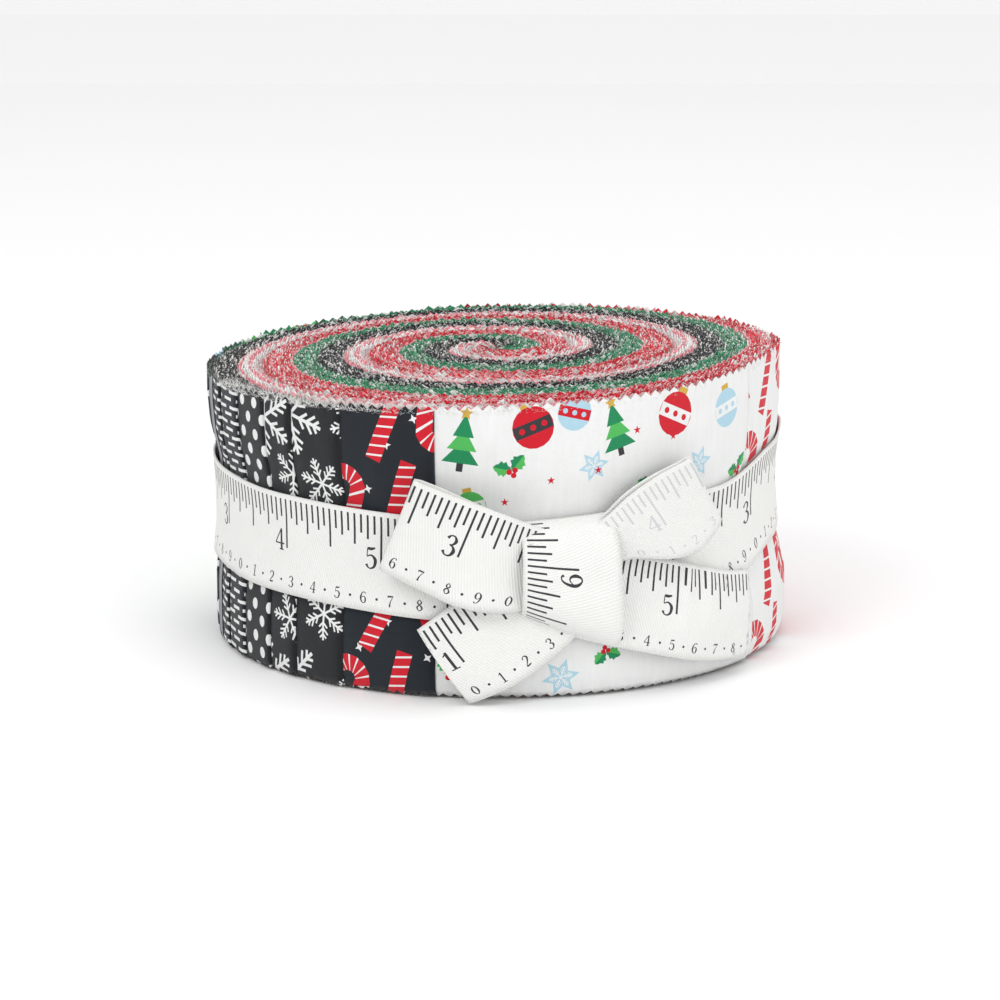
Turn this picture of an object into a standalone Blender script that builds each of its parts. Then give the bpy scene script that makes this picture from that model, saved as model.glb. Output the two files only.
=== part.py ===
"""A roll of pinked cotton strips, wound flat as a drum and tied with a printed twill tape.

Metres, +Z up. The origin is at the middle of the roll's base. The bow of the tape faces -Y, and
angles run anticlockwise seen from above, with 0 at +X.

The roll is one solid: forty folded strips stacked and wound together, so a single spiral runs from
the rim to the middle, and the outer strips end one after the other round the side. The tape is one
solid too: a band round the roll, a knot, two folded loops and two cut tails.
"""

import math

import bmesh
import bpy
from mathutils import Vector
from mathutils.geometry import delaunay_2d_cdt

MM = 0.001

# The strips
STRIP_WIDTH = 63.5 * MM  # two and a half inches, which is the roll's height
STACK_THICKNESS = 24.0 * MM  # forty strips folded in half, eighty layers: one turn of the spiral
STRIP_STEP = 0.6 * MM  # one folded strip, the step where it ends on the side

# The drum
RADIUS = 64.6 * MM
EDGE_ROUND = 1.0 * MM
CROWN = 1.7 * MM  # how far the middle of the top stands above the mean rim
LEAN = 2.2 * MM  # the top is higher on the right than on the left
LEAN_ANGLE = 345.0
RIM_LUMP = 1.5 * MM  # the strips that rise at the right front
RIM_LUMP_ANGLE = 342.0
RIM_LUMP_SPREAD = 26.0
RIM_SINK = 0.2 * MM  # the mean rim against the strips' width

# The side, from the base up: height, radius against RADIUS, shift to the right
SIDE_PROFILE = [
    dict(height=0.0 * MM, swell=-2.0 * MM, shift=0.2 * MM),
    dict(height=1.3 * MM, swell=-0.5 * MM, shift=0.8 * MM),
    dict(height=5.0 * MM, swell=0.2 * MM, shift=1.4 * MM),
    dict(height=14.0 * MM, swell=0.2 * MM, shift=1.4 * MM),
    dict(height=21.0 * MM, swell=-0.9 * MM, shift=0.9 * MM),
    dict(height=27.0 * MM, swell=-2.0 * MM, shift=0.4 * MM),
    dict(height=36.0 * MM, swell=-2.3 * MM, shift=0.0 * MM),
    dict(height=43.0 * MM, swell=-1.8 * MM, shift=-0.1 * MM),
    dict(height=49.0 * MM, swell=-0.5 * MM, shift=-0.2 * MM),
    dict(height=56.0 * MM, swell=0.0 * MM, shift=-0.3 * MM),
    dict(height=63.5 * MM, swell=0.0 * MM, shift=-0.3 * MM),
]

# Angles at which a folded strip ends on the side, seen at the front and evened out at the back
STRIP_ENDS = [
    2.0, 11.0, 19.5, 28.0, 36.5, 45.5, 54.0, 62.5, 71.5, 80.0, 88.0, 97.0, 105.5, 114.0, 123.0,
    131.5, 140.0, 148.5, 157.5, 166.0, 175.0, 184.0, 193.0, 200.0, 209.0, 219.0, 227.0, 239.0,
    258.5, 330.0, 352.0,
]
END_ROUND = 0.16  # degrees on each side of a step
SIDE_COLUMN = 4.5  # degrees at most between two columns of the side

# Creases of the top and the base along the spiral, by their place across the stack from the outside
CREASES = [
    dict(place=0.300, depth=0.6 * MM, half_width=0.55 * MM),  # red to green
    dict(place=0.540, depth=0.6 * MM, half_width=0.55 * MM),  # green to black
    dict(place=0.770, depth=0.7 * MM, half_width=0.55 * MM),  # black to white
    dict(place=0.985, depth=2.0 * MM, half_width=0.80 * MM),  # one turn to the next
]
CREASE_STEP = 4.2 * MM  # between two points along a crease
CREASE_TURN = 9.0  # degrees at most between two points along a crease
EYE_RADIUS = 3.2 * MM  # the tight fold in the middle
RIM_MARGIN = 1.1 * MM  # creases stop this far inside the edge

# The tape
TAPE_WIDTH = 22.0 * MM
TAPE_THICKNESS = 1.0 * MM
TAPE_GAP = 0.5 * MM
TAPE_ACROSS = 4  # strips of faces across the tape
KNOT_ANGLE = 284.5
BAND_COLUMNS = 90
BAND_LIFT = STRIP_STEP / 2 + TAPE_GAP + TAPE_THICKNESS / 2

# Height of the band's middle by angle
BAND_PATH = [
    dict(angle=0.0, height=37.5 * MM),
    dict(angle=45.0, height=36.0 * MM),
    dict(angle=90.0, height=33.5 * MM),
    dict(angle=135.0, height=32.0 * MM),
    dict(angle=180.0, height=31.0 * MM),
    dict(angle=225.0, height=30.0 * MM),
    dict(angle=270.0, height=28.5 * MM),
    dict(angle=300.0, height=29.0 * MM),
    dict(angle=318.0, height=31.0 * MM),
    dict(angle=344.0, height=36.0 * MM),
]


def smooth_between(value, low, high):
    """0 below low, 1 above high and a smooth rise between."""
    share = min(max((value - low) / (high - low), 0.0), 1.0)
    return share * share * (3.0 - 2.0 * share)


def angle_apart(first, second):
    """The smaller angle between two directions, in degrees."""
    return abs((first - second + 180.0) % 360.0 - 180.0)


def side_row(height, key):
    """A value of SIDE_PROFILE at any height, in a straight line from row to row."""
    if height <= SIDE_PROFILE[0]["height"]:
        return SIDE_PROFILE[0][key]
    for lower, upper in zip(SIDE_PROFILE, SIDE_PROFILE[1:]):
        if height <= upper["height"]:
            share = (height - lower["height"]) / (upper["height"] - lower["height"])
            return lower[key] + (upper[key] - lower[key]) * share
    return SIDE_PROFILE[-1][key]


def drum_radius(angle, height):
    """Mean radius of the side, without the steps of the strips."""
    shift = side_row(height, "shift")
    return RADIUS + side_row(height, "swell") + shift * math.cos(math.radians(angle))


def step_offset(angle):
    """How far the outermost strip stands off the mean side: it rises towards its own end."""
    angle = angle % 360.0
    before = max([end for end in STRIP_ENDS if end <= angle], default=STRIP_ENDS[-1] - 360.0)
    after = min([end for end in STRIP_ENDS if end > angle], default=STRIP_ENDS[0] + 360.0)
    return STRIP_STEP * ((angle - before) / (after - before) - 0.5)


def rim_height(angle):
    """Height of the strips' top edges round the rim."""
    lean = LEAN * math.cos(math.radians(angle - LEAN_ANGLE))
    lump = RIM_LUMP * math.exp(-((angle_apart(angle, RIM_LUMP_ANGLE) / RIM_LUMP_SPREAD) ** 2))
    return STRIP_WIDTH + lean + lump - RIM_SINK


def top_height(x, y):
    """Height of the top at a place, without its creases."""
    angle = math.degrees(math.atan2(y, x)) % 360.0
    share = min(math.hypot(x, y) / RADIUS, 1.0) ** 2
    return (STRIP_WIDTH + CROWN) * (1.0 - share) + rim_height(angle) * share


def crease_line(place, reach, edge):
    """Points of one spiral line from near the rim to the eye, as (x, y).

    place is the line's place across the stack, 0 to 1. reach shifts it inwards in metres, and edge
    is the height of the face's rim.
    """
    points = []
    turned = 360.0 * place
    while True:
        radius = RADIUS - (STACK_THICKNESS * (place - turned / 360.0) + reach)
        if radius <= EYE_RADIUS:
            return points
        angle = math.radians(turned)
        limit = drum_radius(turned, edge) - RIM_MARGIN
        if radius < limit:
            points.append((radius * math.cos(angle), radius * math.sin(angle)))
        turned -= min(CREASE_TURN, math.degrees(CREASE_STEP / radius))


def crease_field(creases, edge):
    """All spiral lines of the face whose rim is at this height, as a list of (points, depth)."""
    lines = []
    for crease in creases:
        for side in (-1.0, 0.0, 1.0):
            depth = crease["depth"] if side == 0.0 else 0.0
            lines.append((crease_line(crease["place"], side * crease["half_width"], edge), depth))
    return lines


def side_columns():
    """Angles and radial offsets of the side's columns, two at each strip's end."""
    columns = []
    for index, end in enumerate(STRIP_ENDS):
        following = STRIP_ENDS[(index + 1) % len(STRIP_ENDS)]
        span = (following - end) % 360.0
        pieces = max(1, math.ceil(span / SIDE_COLUMN))
        for piece in range(pieces + 1):
            angle = end + span * piece / pieces
            if piece == 0:
                angle += END_ROUND
            elif piece == pieces:
                angle -= END_ROUND
            columns.append((angle % 360.0, step_offset(angle)))
    return columns


def polar(radius, angle, height):
    """A point from its radius, angle in degrees and height."""
    turn = math.radians(angle)
    return Vector((radius * math.cos(turn), radius * math.sin(turn), height))


def face_mesh(bm, rim, lines, height_of, facing_up):
    """Fills a flat face of the drum, with the spiral lines as edges of its triangles.

    rim is the ring of bmesh vertices round it, lines come from crease_field, and height_of gives a
    point's height from its place and its depth.
    """
    flat = [Vector((vertex.co.x, vertex.co.y)) / MM for vertex in rim]
    edges = [(index, (index + 1) % len(rim)) for index in range(len(rim))]
    depths = [0.0] * len(rim)
    for points, depth in lines:
        start = len(flat)
        flat.extend(Vector(point) / MM for point in points)
        depths.extend([depth] * len(points))
        edges.extend((index, index + 1) for index in range(start, len(flat) - 1))
    spots, _, faces, sources, _, _ = delaunay_2d_cdt(flat, edges, [list(range(len(rim)))], 1, 1e-6)
    vertices = []
    for spot, source in zip(spots, sources):
        on_rim = [index for index in source if index < len(rim)]
        if on_rim:
            vertices.append(rim[on_rim[0]])
            continue
        depth = max(depths[index] for index in source)
        x, y = spot.x * MM, spot.y * MM
        vertices.append(bm.verts.new((x, y, height_of(x, y, depth))))
    for face in faces:
        order = face if facing_up else reversed(face)
        bm.faces.new([vertices[index] for index in order])


def wound_roll():
    """The drum: stepped side, crowned top and flat base, both with the spiral of the winding."""
    bm = bmesh.new()
    columns = side_columns()
    rows = []
    for level in SIDE_PROFILE[:-1]:
        row = []
        for angle, offset in columns:
            radius = drum_radius(angle, level["height"]) + offset
            height = level["height"] * rim_height(angle) / STRIP_WIDTH
            row.append(bm.verts.new(polar(radius, angle, height)))
        rows.append(row)
    for inset, drop in ((0.0, EDGE_ROUND), (EDGE_ROUND * 0.6, 0.0)):
        row = []
        for angle, offset in columns:
            radius = drum_radius(angle, STRIP_WIDTH) + offset - inset
            row.append(bm.verts.new(polar(radius, angle, rim_height(angle) - drop)))
        rows.append(row)
    for lower, upper in zip(rows, rows[1:]):
        for index in range(len(columns)):
            after = (index + 1) % len(columns)
            bm.faces.new((lower[index], lower[after], upper[after], upper[index]))
    top_lines = crease_field(CREASES, STRIP_WIDTH)
    base_lines = crease_field(CREASES[-1:], 0.0)
    face_mesh(bm, rows[-1], top_lines, lambda x, y, depth: top_height(x, y) - depth, True)
    face_mesh(bm, rows[0], base_lines, lambda x, y, depth: depth, False)
    bmesh.ops.triangulate(bm, faces=bm.faces[:])
    mesh = bpy.data.meshes.new("roll")
    bm.to_mesh(mesh)
    bm.free()
    return bpy.data.objects.new("roll", mesh)


def band_height(angle):
    """Height of the band's middle at an angle, eased from row to row of BAND_PATH."""
    angle = angle % 360.0
    rows = BAND_PATH + [dict(BAND_PATH[0], angle=360.0)]
    for before, after in zip(rows, rows[1:]):
        if angle <= after["angle"]:
            share = smooth_between(angle, before["angle"], after["angle"])
            return before["height"] + (after["height"] - before["height"]) * share
    return rows[-1]["height"]


def on_roll(along, height, lift):
    """A point on the tape from its place along the side, its height and its distance off the side.

    along is measured in metres to the right of the knot's middle.
    """
    angle = KNOT_ANGLE + math.degrees(along / RADIUS)
    return polar(drum_radius(angle, height) + STRIP_STEP / 2 + lift, angle, height)


def sheet_object(name, rows, closed):
    """A tape from rows of points across it, given its thickness evenly about them."""
    bm = bmesh.new()
    grid = [[bm.verts.new(point) for point in row] for row in rows]
    pairs = list(zip(grid, grid[1:]))
    if closed:
        pairs.append((grid[-1], grid[0]))
    for first, second in pairs:
        for index in range(len(first) - 1):
            bm.faces.new((first[index], second[index], second[index + 1], first[index + 1]))
    mesh = bpy.data.meshes.new(name)
    bm.to_mesh(mesh)
    bm.free()
    tape = bpy.data.objects.new(name, mesh)
    wall = tape.modifiers.new("thickness", "SOLIDIFY")
    wall.thickness = TAPE_THICKNESS
    wall.offset = 0.0
    wall.use_even_offset = True
    return tape


def tape_band():
    """The part of the tape that runs round the roll."""
    rows = []
    for index in range(BAND_COLUMNS):
        angle = 360.0 * index / BAND_COLUMNS
        middle = band_height(angle)
        row = []
        for step in range(TAPE_ACROSS + 1):
            height = middle + TAPE_WIDTH * (step / TAPE_ACROSS - 0.5)
            row.append(polar(drum_radius(angle, height) + BAND_LIFT, angle, height))
        rows.append(row)
    return sheet_object("tape_band", rows, True)


# A loose length of tape is a table of its stations, in millimetres: how far along the side and how
# high its middle is, the direction that it runs in (degrees above level), its lift off the side and
# its share of the full width. A tail's upper and lower edge lift apart, and a loop stands open by
# the same distance on each side of its own middle.
LOWER_LEFT_TAIL = [
    dict(along=-2.0, height=24.5, run=212.0, lift_up=2.2, lift_low=2.2, share=0.80),
    dict(along=-8.0, height=20.8, run=212.0, lift_up=2.3, lift_low=2.3, share=0.95),
    dict(along=-14.0, height=16.8, run=214.0, lift_up=2.6, lift_low=2.8, share=1.0),
    dict(along=-20.0, height=12.8, run=216.0, lift_up=2.8, lift_low=3.6, share=1.0),
    dict(along=-26.6, height=9.1, run=218.0, lift_up=2.6, lift_low=4.6, share=0.92),
]
LOWER_RIGHT_TAIL = [
    dict(along=2.0, height=23.5, run=-13.0, lift_up=2.2, lift_low=2.2, share=0.85),
    dict(along=11.0, height=21.4, run=-13.0, lift_up=2.4, lift_low=3.4, share=0.90),
    dict(along=20.0, height=18.9, run=-14.0, lift_up=2.4, lift_low=3.6, share=0.92),
    dict(along=29.0, height=16.2, run=-14.0, lift_up=2.6, lift_low=3.2, share=0.92),
    dict(along=38.0, height=14.0, run=-13.0, lift_up=2.2, lift_low=2.6, share=0.88),
    dict(along=47.0, height=12.6, run=-10.0, lift_up=2.0, lift_low=2.0, share=0.86),
]
UPPER_LEFT_LOOP = [
    dict(along=-3.0, height=29.0, run=160.0, lift=3.8, open=0.4, share=0.70),
    dict(along=-11.0, height=30.0, run=162.0, lift=4.6, open=1.6, share=0.88),
    dict(along=-19.0, height=32.4, run=160.0, lift=5.0, open=2.0, share=1.0),
    dict(along=-27.0, height=35.5, run=159.0, lift=5.0, open=1.6, share=1.0),
    dict(along=-35.5, height=38.8, run=158.0, lift=4.8, open=1.1, share=1.0),
]
UPPER_RIGHT_LOOP = [
    dict(along=3.0, height=30.0, run=40.0, lift=3.8, open=0.4, share=0.60),
    dict(along=10.0, height=33.0, run=35.0, lift=4.4, open=1.2, share=0.80),
    dict(along=17.0, height=36.4, run=35.0, lift=4.8, open=1.4, share=0.92),
    dict(along=24.0, height=39.8, run=35.0, lift=4.6, open=1.3, share=0.95),
    dict(along=31.0, height=43.2, run=36.0, lift=4.4, open=1.1, share=0.90),
]
FOLD_STEPS = 4
EASE_STEPS = 2  # rows of points from one station to the next


def station_row(station, lift_up, lift_low):
    """The row of points across the tape at one station of a table."""
    run = math.radians(station["run"])
    across = Vector((-math.sin(run), math.cos(run)))
    if across.y < 0.0:
        across = -across
    row = []
    for step in range(TAPE_ACROSS + 1):
        share = step / TAPE_ACROSS
        offset = across * (TAPE_WIDTH * station["share"] * (share - 0.5))
        lift = (lift_low + (lift_up - lift_low) * share) * MM
        row.append(on_roll(station["along"] * MM + offset.x, station["height"] * MM + offset.y, lift))
    return row


def eased(table):
    """The stations of a table and those between them, on a smooth curve."""
    stations = []
    for index in range(len(table) - 1):
        four = [table[min(max(index + shift, 0), len(table) - 1)] for shift in (-1, 0, 1, 2)]
        for step in range(EASE_STEPS):
            t = step / EASE_STEPS
            weights = (
                -0.5 * t + t * t - 0.5 * t**3,
                1.0 - 2.5 * t * t + 1.5 * t**3,
                0.5 * t + 2.0 * t * t - 1.5 * t**3,
                -0.5 * t * t + 0.5 * t**3,
            )
            stations.append({key: sum(w * row[key] for w, row in zip(weights, four)) for key in table[0]})
    return stations + [table[-1]]


def tape_tail(name, table):
    """A cut end of the tape that hangs from the knot."""
    rows = [station_row(row, row["lift_up"], row["lift_low"]) for row in eased(table)]
    return sheet_object(name, rows, False)


def tape_loop(name, table):
    """A loop pressed nearly flat: out along its back layer, round the fold and back."""
    stations = eased(table)
    back = [station_row(row, row["lift"] - row["open"], row["lift"] - row["open"]) for row in stations]
    front = [station_row(row, row["lift"] + row["open"], row["lift"] + row["open"]) for row in stations]
    end = stations[-1]
    fold = []
    for step in range(1, FOLD_STEPS):
        turn = math.pi * step / FOLD_STEPS
        reach = end["open"] * math.sin(turn)
        run = math.radians(end["run"])
        along = end["along"] + reach * math.cos(run)
        height = end["height"] + reach * math.sin(run)
        lift = end["lift"] - end["open"] * math.cos(turn)
        fold.append(station_row(dict(end, along=along, height=height), lift, lift))
    return sheet_object(name, back + fold + front[::-1], False)


# The knot's block: where its left and right sides stand and how high they reach, in millimetres
KNOT_LEFT = dict(along=-10.9, low=19.6, high=39.2)
KNOT_RIGHT = dict(along=9.0, low=11.4, high=40.4)
KNOT_BASE_LIFT = 0.4 * MM
KNOT_LIFT = 8.4 * MM
KNOT_CUTS = 5  # cuts through each edge of the block
KNOT_SQUARENESS = 6  # how square the block's corners are
KNOT_ROUNDING = 0.6  # how much of that rounding it takes
KNOT_FALL_TO_ENDS = 0.35  # how much lower it is at its top and bottom than in the middle
KNOT_FALL_TO_SIDES = 0.15


def tape_knot():
    """The tape wrapped over itself at the front, as one rounded block."""
    bm = bmesh.new()
    bmesh.ops.create_cube(bm, size=2.0)
    bmesh.ops.subdivide_edges(bm, edges=bm.edges[:], cuts=KNOT_CUTS, use_grid_fill=True)
    for vertex in bm.verts:
        # Corners drawn in, so that the block is a pillow
        spread = sum(abs(value) ** KNOT_SQUARENESS for value in vertex.co) ** (1.0 / KNOT_SQUARENESS)
        x, y, z = vertex.co * (1.0 + (1.0 / spread - 1.0) * KNOT_ROUNDING)
        share = (x + 1.0) / 2.0
        side = {key: KNOT_LEFT[key] + (KNOT_RIGHT[key] - KNOT_LEFT[key]) * share for key in KNOT_LEFT}
        height = (side["low"] + side["high"]) / 2.0 + y * (side["high"] - side["low"]) / 2.0
        crown = 1.0 - KNOT_FALL_TO_ENDS * y * y - KNOT_FALL_TO_SIDES * x * x
        lift = KNOT_BASE_LIFT + (KNOT_LIFT - KNOT_BASE_LIFT) * (z + 1.0) / 2.0 * crown
        vertex.co = on_roll(side["along"] * MM, height * MM, lift)
    bmesh.ops.recalc_face_normals(bm, faces=bm.faces[:])
    mesh = bpy.data.meshes.new("tape_knot")
    bm.to_mesh(mesh)
    bm.free()
    return bpy.data.objects.new("tape_knot", mesh)


def solid_copy(source, collection):
    """The evaluated mesh of an object, as a plain object."""
    collection.objects.link(source)
    bpy.context.view_layer.update()
    graph = bpy.context.evaluated_depsgraph_get()
    mesh = bpy.data.meshes.new_from_object(source.evaluated_get(graph))
    plain = bpy.data.objects.new(source.name + "_solid", mesh)
    bpy.data.objects.remove(source)
    bm = bmesh.new()
    bm.from_mesh(mesh)
    bmesh.ops.recalc_face_normals(bm, faces=bm.faces[:])
    bmesh.ops.triangulate(bm, faces=bm.faces[:])
    bm.to_mesh(mesh)
    bm.free()
    collection.objects.link(plain)
    return plain


def tie_tape(helpers):
    """The whole tape: the band with the knot, loops and tails joined to it."""
    tape = solid_copy(tape_band(), helpers)
    tape.name = "tie_tape"
    pieces = [
        tape_knot(),
        tape_tail("lower_left_tail", LOWER_LEFT_TAIL),
        tape_tail("lower_right_tail", LOWER_RIGHT_TAIL),
        tape_loop("upper_left_loop", UPPER_LEFT_LOOP),
        tape_loop("upper_right_loop", UPPER_RIGHT_LOOP),
    ]
    for piece in pieces:
        joined = solid_copy(piece, helpers)
        joined.hide_render = True
        joined.display_type = "WIRE"
        union = tape.modifiers.new(joined.name, "BOOLEAN")
        union.operation = "UNION"
        union.solver = "EXACT"
        union.object = joined
    helpers.objects.unlink(tape)
    return tape


def cloth_material(name, colour, roughness):
    """A plain cloth finish.

    colour is linear RGB.
    """
    material = bpy.data.materials.new(name)
    material.use_nodes = True
    shader = material.node_tree.nodes["Principled BSDF"]
    shader.inputs["Base Color"].default_value = (*colour, 1.0)
    shader.inputs["Roughness"].default_value = roughness
    shader.inputs["Metallic"].default_value = 0.0
    return material


def main():
    """Builds the roll and its tape."""
    for obj in list(bpy.data.objects):
        bpy.data.objects.remove(obj, do_unlink=True)
    parts = bpy.data.collections.new("fabric_strip_roll")
    helpers = bpy.data.collections.new("joined_pieces")
    for collection in (parts, helpers):
        bpy.context.scene.collection.children.link(collection)
    roll = wound_roll()
    roll.data.materials.append(cloth_material("printed_cotton", (0.72, 0.70, 0.70), 0.85))
    parts.objects.link(roll)
    tape = tie_tape(helpers)
    tape.data.materials.clear()
    tape.data.materials.append(cloth_material("twill_tape", (0.86, 0.85, 0.83), 0.8))
    parts.objects.link(tape)
    for obj in (roll, tape):
        obj.data.shade_smooth()
        obj.data.set_sharp_from_angle(angle=math.radians(35.0))


main()
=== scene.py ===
"""A roll of forty pinked cotton strips, tied with a ruled twill tape, dressed for its portrait.

Lengths are in metres and angles in degrees, anticlockwise seen from above with 0 at +X. The roll
stands on the floor at the origin, and the bow of its tape faces -Y.
"""

import logging
import math
from dataclasses import dataclass
from enum import Enum
from typing import Callable, Iterable, Sequence

import bmesh
import bpy
import numpy as np
from mathutils import Matrix, Vector
from mathutils.geometry import delaunay_2d_cdt


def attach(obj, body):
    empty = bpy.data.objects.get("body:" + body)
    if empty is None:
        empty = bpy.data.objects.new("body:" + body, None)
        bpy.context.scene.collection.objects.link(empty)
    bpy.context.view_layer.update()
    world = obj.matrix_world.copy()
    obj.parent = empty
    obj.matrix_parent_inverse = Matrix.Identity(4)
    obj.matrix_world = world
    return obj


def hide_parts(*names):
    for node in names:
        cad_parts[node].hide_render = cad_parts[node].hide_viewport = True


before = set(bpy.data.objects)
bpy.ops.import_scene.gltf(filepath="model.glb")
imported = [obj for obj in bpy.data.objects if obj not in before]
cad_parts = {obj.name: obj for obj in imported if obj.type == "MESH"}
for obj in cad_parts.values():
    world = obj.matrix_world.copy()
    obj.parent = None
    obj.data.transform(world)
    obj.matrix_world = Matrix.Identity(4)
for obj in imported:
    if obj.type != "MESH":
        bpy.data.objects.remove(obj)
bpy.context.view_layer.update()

MM = 0.001
INCH = 25.4 * MM
LOG = logging.getLogger("strip_roll")

Colour = tuple[float, float, float]
Point = tuple[float, float]


def linear(red: float, green: float, blue: float) -> Colour:
    """Turns a display colour into a linear one.

    Args:
        red: 0 to 255.
        green: 0 to 255.
        blue: 0 to 255.

    Returns:
        The linear colour, 0 to 1.
    """
    values = []
    for value in (red, green, blue):
        share = value / 255.0
        values.append(share / 12.92 if share <= 0.04045 else ((share + 0.055) / 1.055) ** 2.4)
    return (values[0], values[1], values[2])


class Dye(Enum):
    """The colours that the cloths are dyed and printed in."""

    WHITE = linear(232, 233, 232)
    TAPE = linear(233, 233, 230)
    CREAM = linear(228, 225, 221)
    GREY = linear(150, 152, 158)
    RED = linear(204, 16, 38)
    CORAL = linear(214, 52, 66)
    DARK_RED = linear(158, 12, 32)
    PINK = linear(232, 140, 150)
    GREEN = linear(24, 134, 84)
    PINE = linear(52, 142, 104)
    BRIGHT_GREEN = linear(78, 180, 88)
    DARK_GREEN = linear(16, 88, 58)
    BLACK = linear(22, 25, 29)
    NAVY = linear(20, 28, 36)
    SKY = linear(172, 208, 224)
    GOLD = linear(206, 164, 62)
    INK = linear(52, 52, 56)
    GHOST = linear(206, 208, 210)


class Group(Enum):
    """The colour groups that the strips are stacked in, from the outside in."""

    RED = 0
    GREEN = 1
    BLACK = 2
    WHITE = 3


class Print(Enum):
    """The patterns printed on the strips."""

    DASHES = "dashes"
    DOTS = "dots"
    SNOWFLAKES = "snowflakes"
    CANES = "canes"
    SPRIGS = "sprigs"
    BARS = "bars"
    STARS = "stars"
    CHECK = "check"


class Face(Enum):
    """The two wound faces of the roll."""

    TOP = 1.0
    BASE = -1.0


@dataclass(frozen=True)
class Drum:
    """The roll's outer form, with the same sizes as its solid.

    Attributes:
        width: Cut width of a strip, which is the roll's height.
        stack: Thickness of all the folded strips together, one turn of the spiral.
        step: Thickness of one folded strip.
        radius: Radius of the side before its swell.
        crown: How far the middle of the top stands above the mean rim.
        lean: How much higher the rim is on one side.
        lean_angle: The side on which the rim is highest.
        lump: Extra height of the strips that have risen at the right front.
        lump_angle: Where they are.
        lump_spread: How far round they reach.
        sink: Mean rim against the strips' width.
        profile: Height, swell and shift to the right of the side, from the base up.
    """

    width: float = 63.5 * MM
    stack: float = 24.0 * MM
    step: float = 0.6 * MM
    radius: float = 64.6 * MM
    crown: float = 1.7 * MM
    lean: float = 2.2 * MM
    lean_angle: float = 345.0
    lump: float = 1.5 * MM
    lump_angle: float = 342.0
    lump_spread: float = 26.0
    sink: float = 0.2 * MM
    profile: tuple[tuple[float, float, float], ...] = (
        (0.0 * MM, -2.0 * MM, 0.2 * MM),
        (1.3 * MM, -0.5 * MM, 0.8 * MM),
        (5.0 * MM, 0.2 * MM, 1.4 * MM),
        (14.0 * MM, 0.2 * MM, 1.4 * MM),
        (21.0 * MM, -0.9 * MM, 0.9 * MM),
        (27.0 * MM, -2.0 * MM, 0.4 * MM),
        (36.0 * MM, -2.3 * MM, 0.0 * MM),
        (43.0 * MM, -1.8 * MM, -0.1 * MM),
        (49.0 * MM, -0.5 * MM, -0.2 * MM),
        (56.0 * MM, 0.0 * MM, -0.3 * MM),
        (63.5 * MM, 0.0 * MM, -0.3 * MM),
    )

    def side(self, angle: np.ndarray, height: np.ndarray) -> np.ndarray:
        """Mean radius of the side.

        Args:
            angle: Degrees.
            height: Metres above the floor.

        Returns:
            The radius at each place.
        """
        table = np.array(self.profile)
        swell = np.interp(height, table[:, 0], table[:, 1])
        shift = np.interp(height, table[:, 0], table[:, 2])
        return self.radius + swell + shift * np.cos(np.radians(angle))

    def rim(self, angle: np.ndarray) -> np.ndarray:
        """Height of the strips' top edges at an angle."""
        lean = self.lean * np.cos(np.radians(angle - self.lean_angle))
        apart = np.abs((angle - self.lump_angle + 180.0) % 360.0 - 180.0)
        return self.width + lean + self.lump * np.exp(-((apart / self.lump_spread) ** 2)) - self.sink

    def top(self, x: np.ndarray, y: np.ndarray) -> np.ndarray:
        """Height of the top at a place, without its creases."""
        angle = np.degrees(np.arctan2(y, x)) % 360.0
        share = np.minimum(np.hypot(x, y) / self.radius, 1.0) ** 2
        return (self.width + self.crown) * (1.0 - share) + self.rim(angle) * share

    def place(self, x: np.ndarray, y: np.ndarray) -> np.ndarray:
        """Place across the stack, 0 at its outside and 1 at its inside."""
        turned = np.degrees(np.arctan2(y, x)) / 360.0
        return ((self.radius - np.hypot(x, y)) / self.stack + turned) % 1.0


DRUM = Drum()


def polar(radius: np.ndarray, angle: np.ndarray, height: np.ndarray) -> np.ndarray:
    """Points from their radius, angle in degrees and height."""
    turn = np.radians(angle)
    return np.stack([radius * np.cos(turn), radius * np.sin(turn), height], axis=-1)


class Nodes:
    """A node tree under construction, with short names for its nodes."""

    tree: bpy.types.NodeTree

    def node(self, kind: str, feeds: dict | None = None, **settings: object) -> bpy.types.Node:
        """Adds a node.

        Args:
            kind: The node's type.
            feeds: Its inputs by name or number, each a socket or a value.
            settings: Its properties.

        Returns:
            The node.
        """
        made = self.tree.nodes.new(kind)
        for key, value in settings.items():
            setattr(made, key, value)
        for key, value in (feeds or {}).items():
            if isinstance(value, bpy.types.NodeSocket):
                self.tree.links.new(value, made.inputs[key])
            else:
                made.inputs[key].default_value = value
        return made

    def math(self, operation: str, *values: object) -> bpy.types.NodeSocket:
        """The result of one arithmetic step on sockets or numbers."""
        feeds = dict(enumerate(values))
        return self.node("ShaderNodeMath", feeds, operation=operation).outputs[0]


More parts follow.
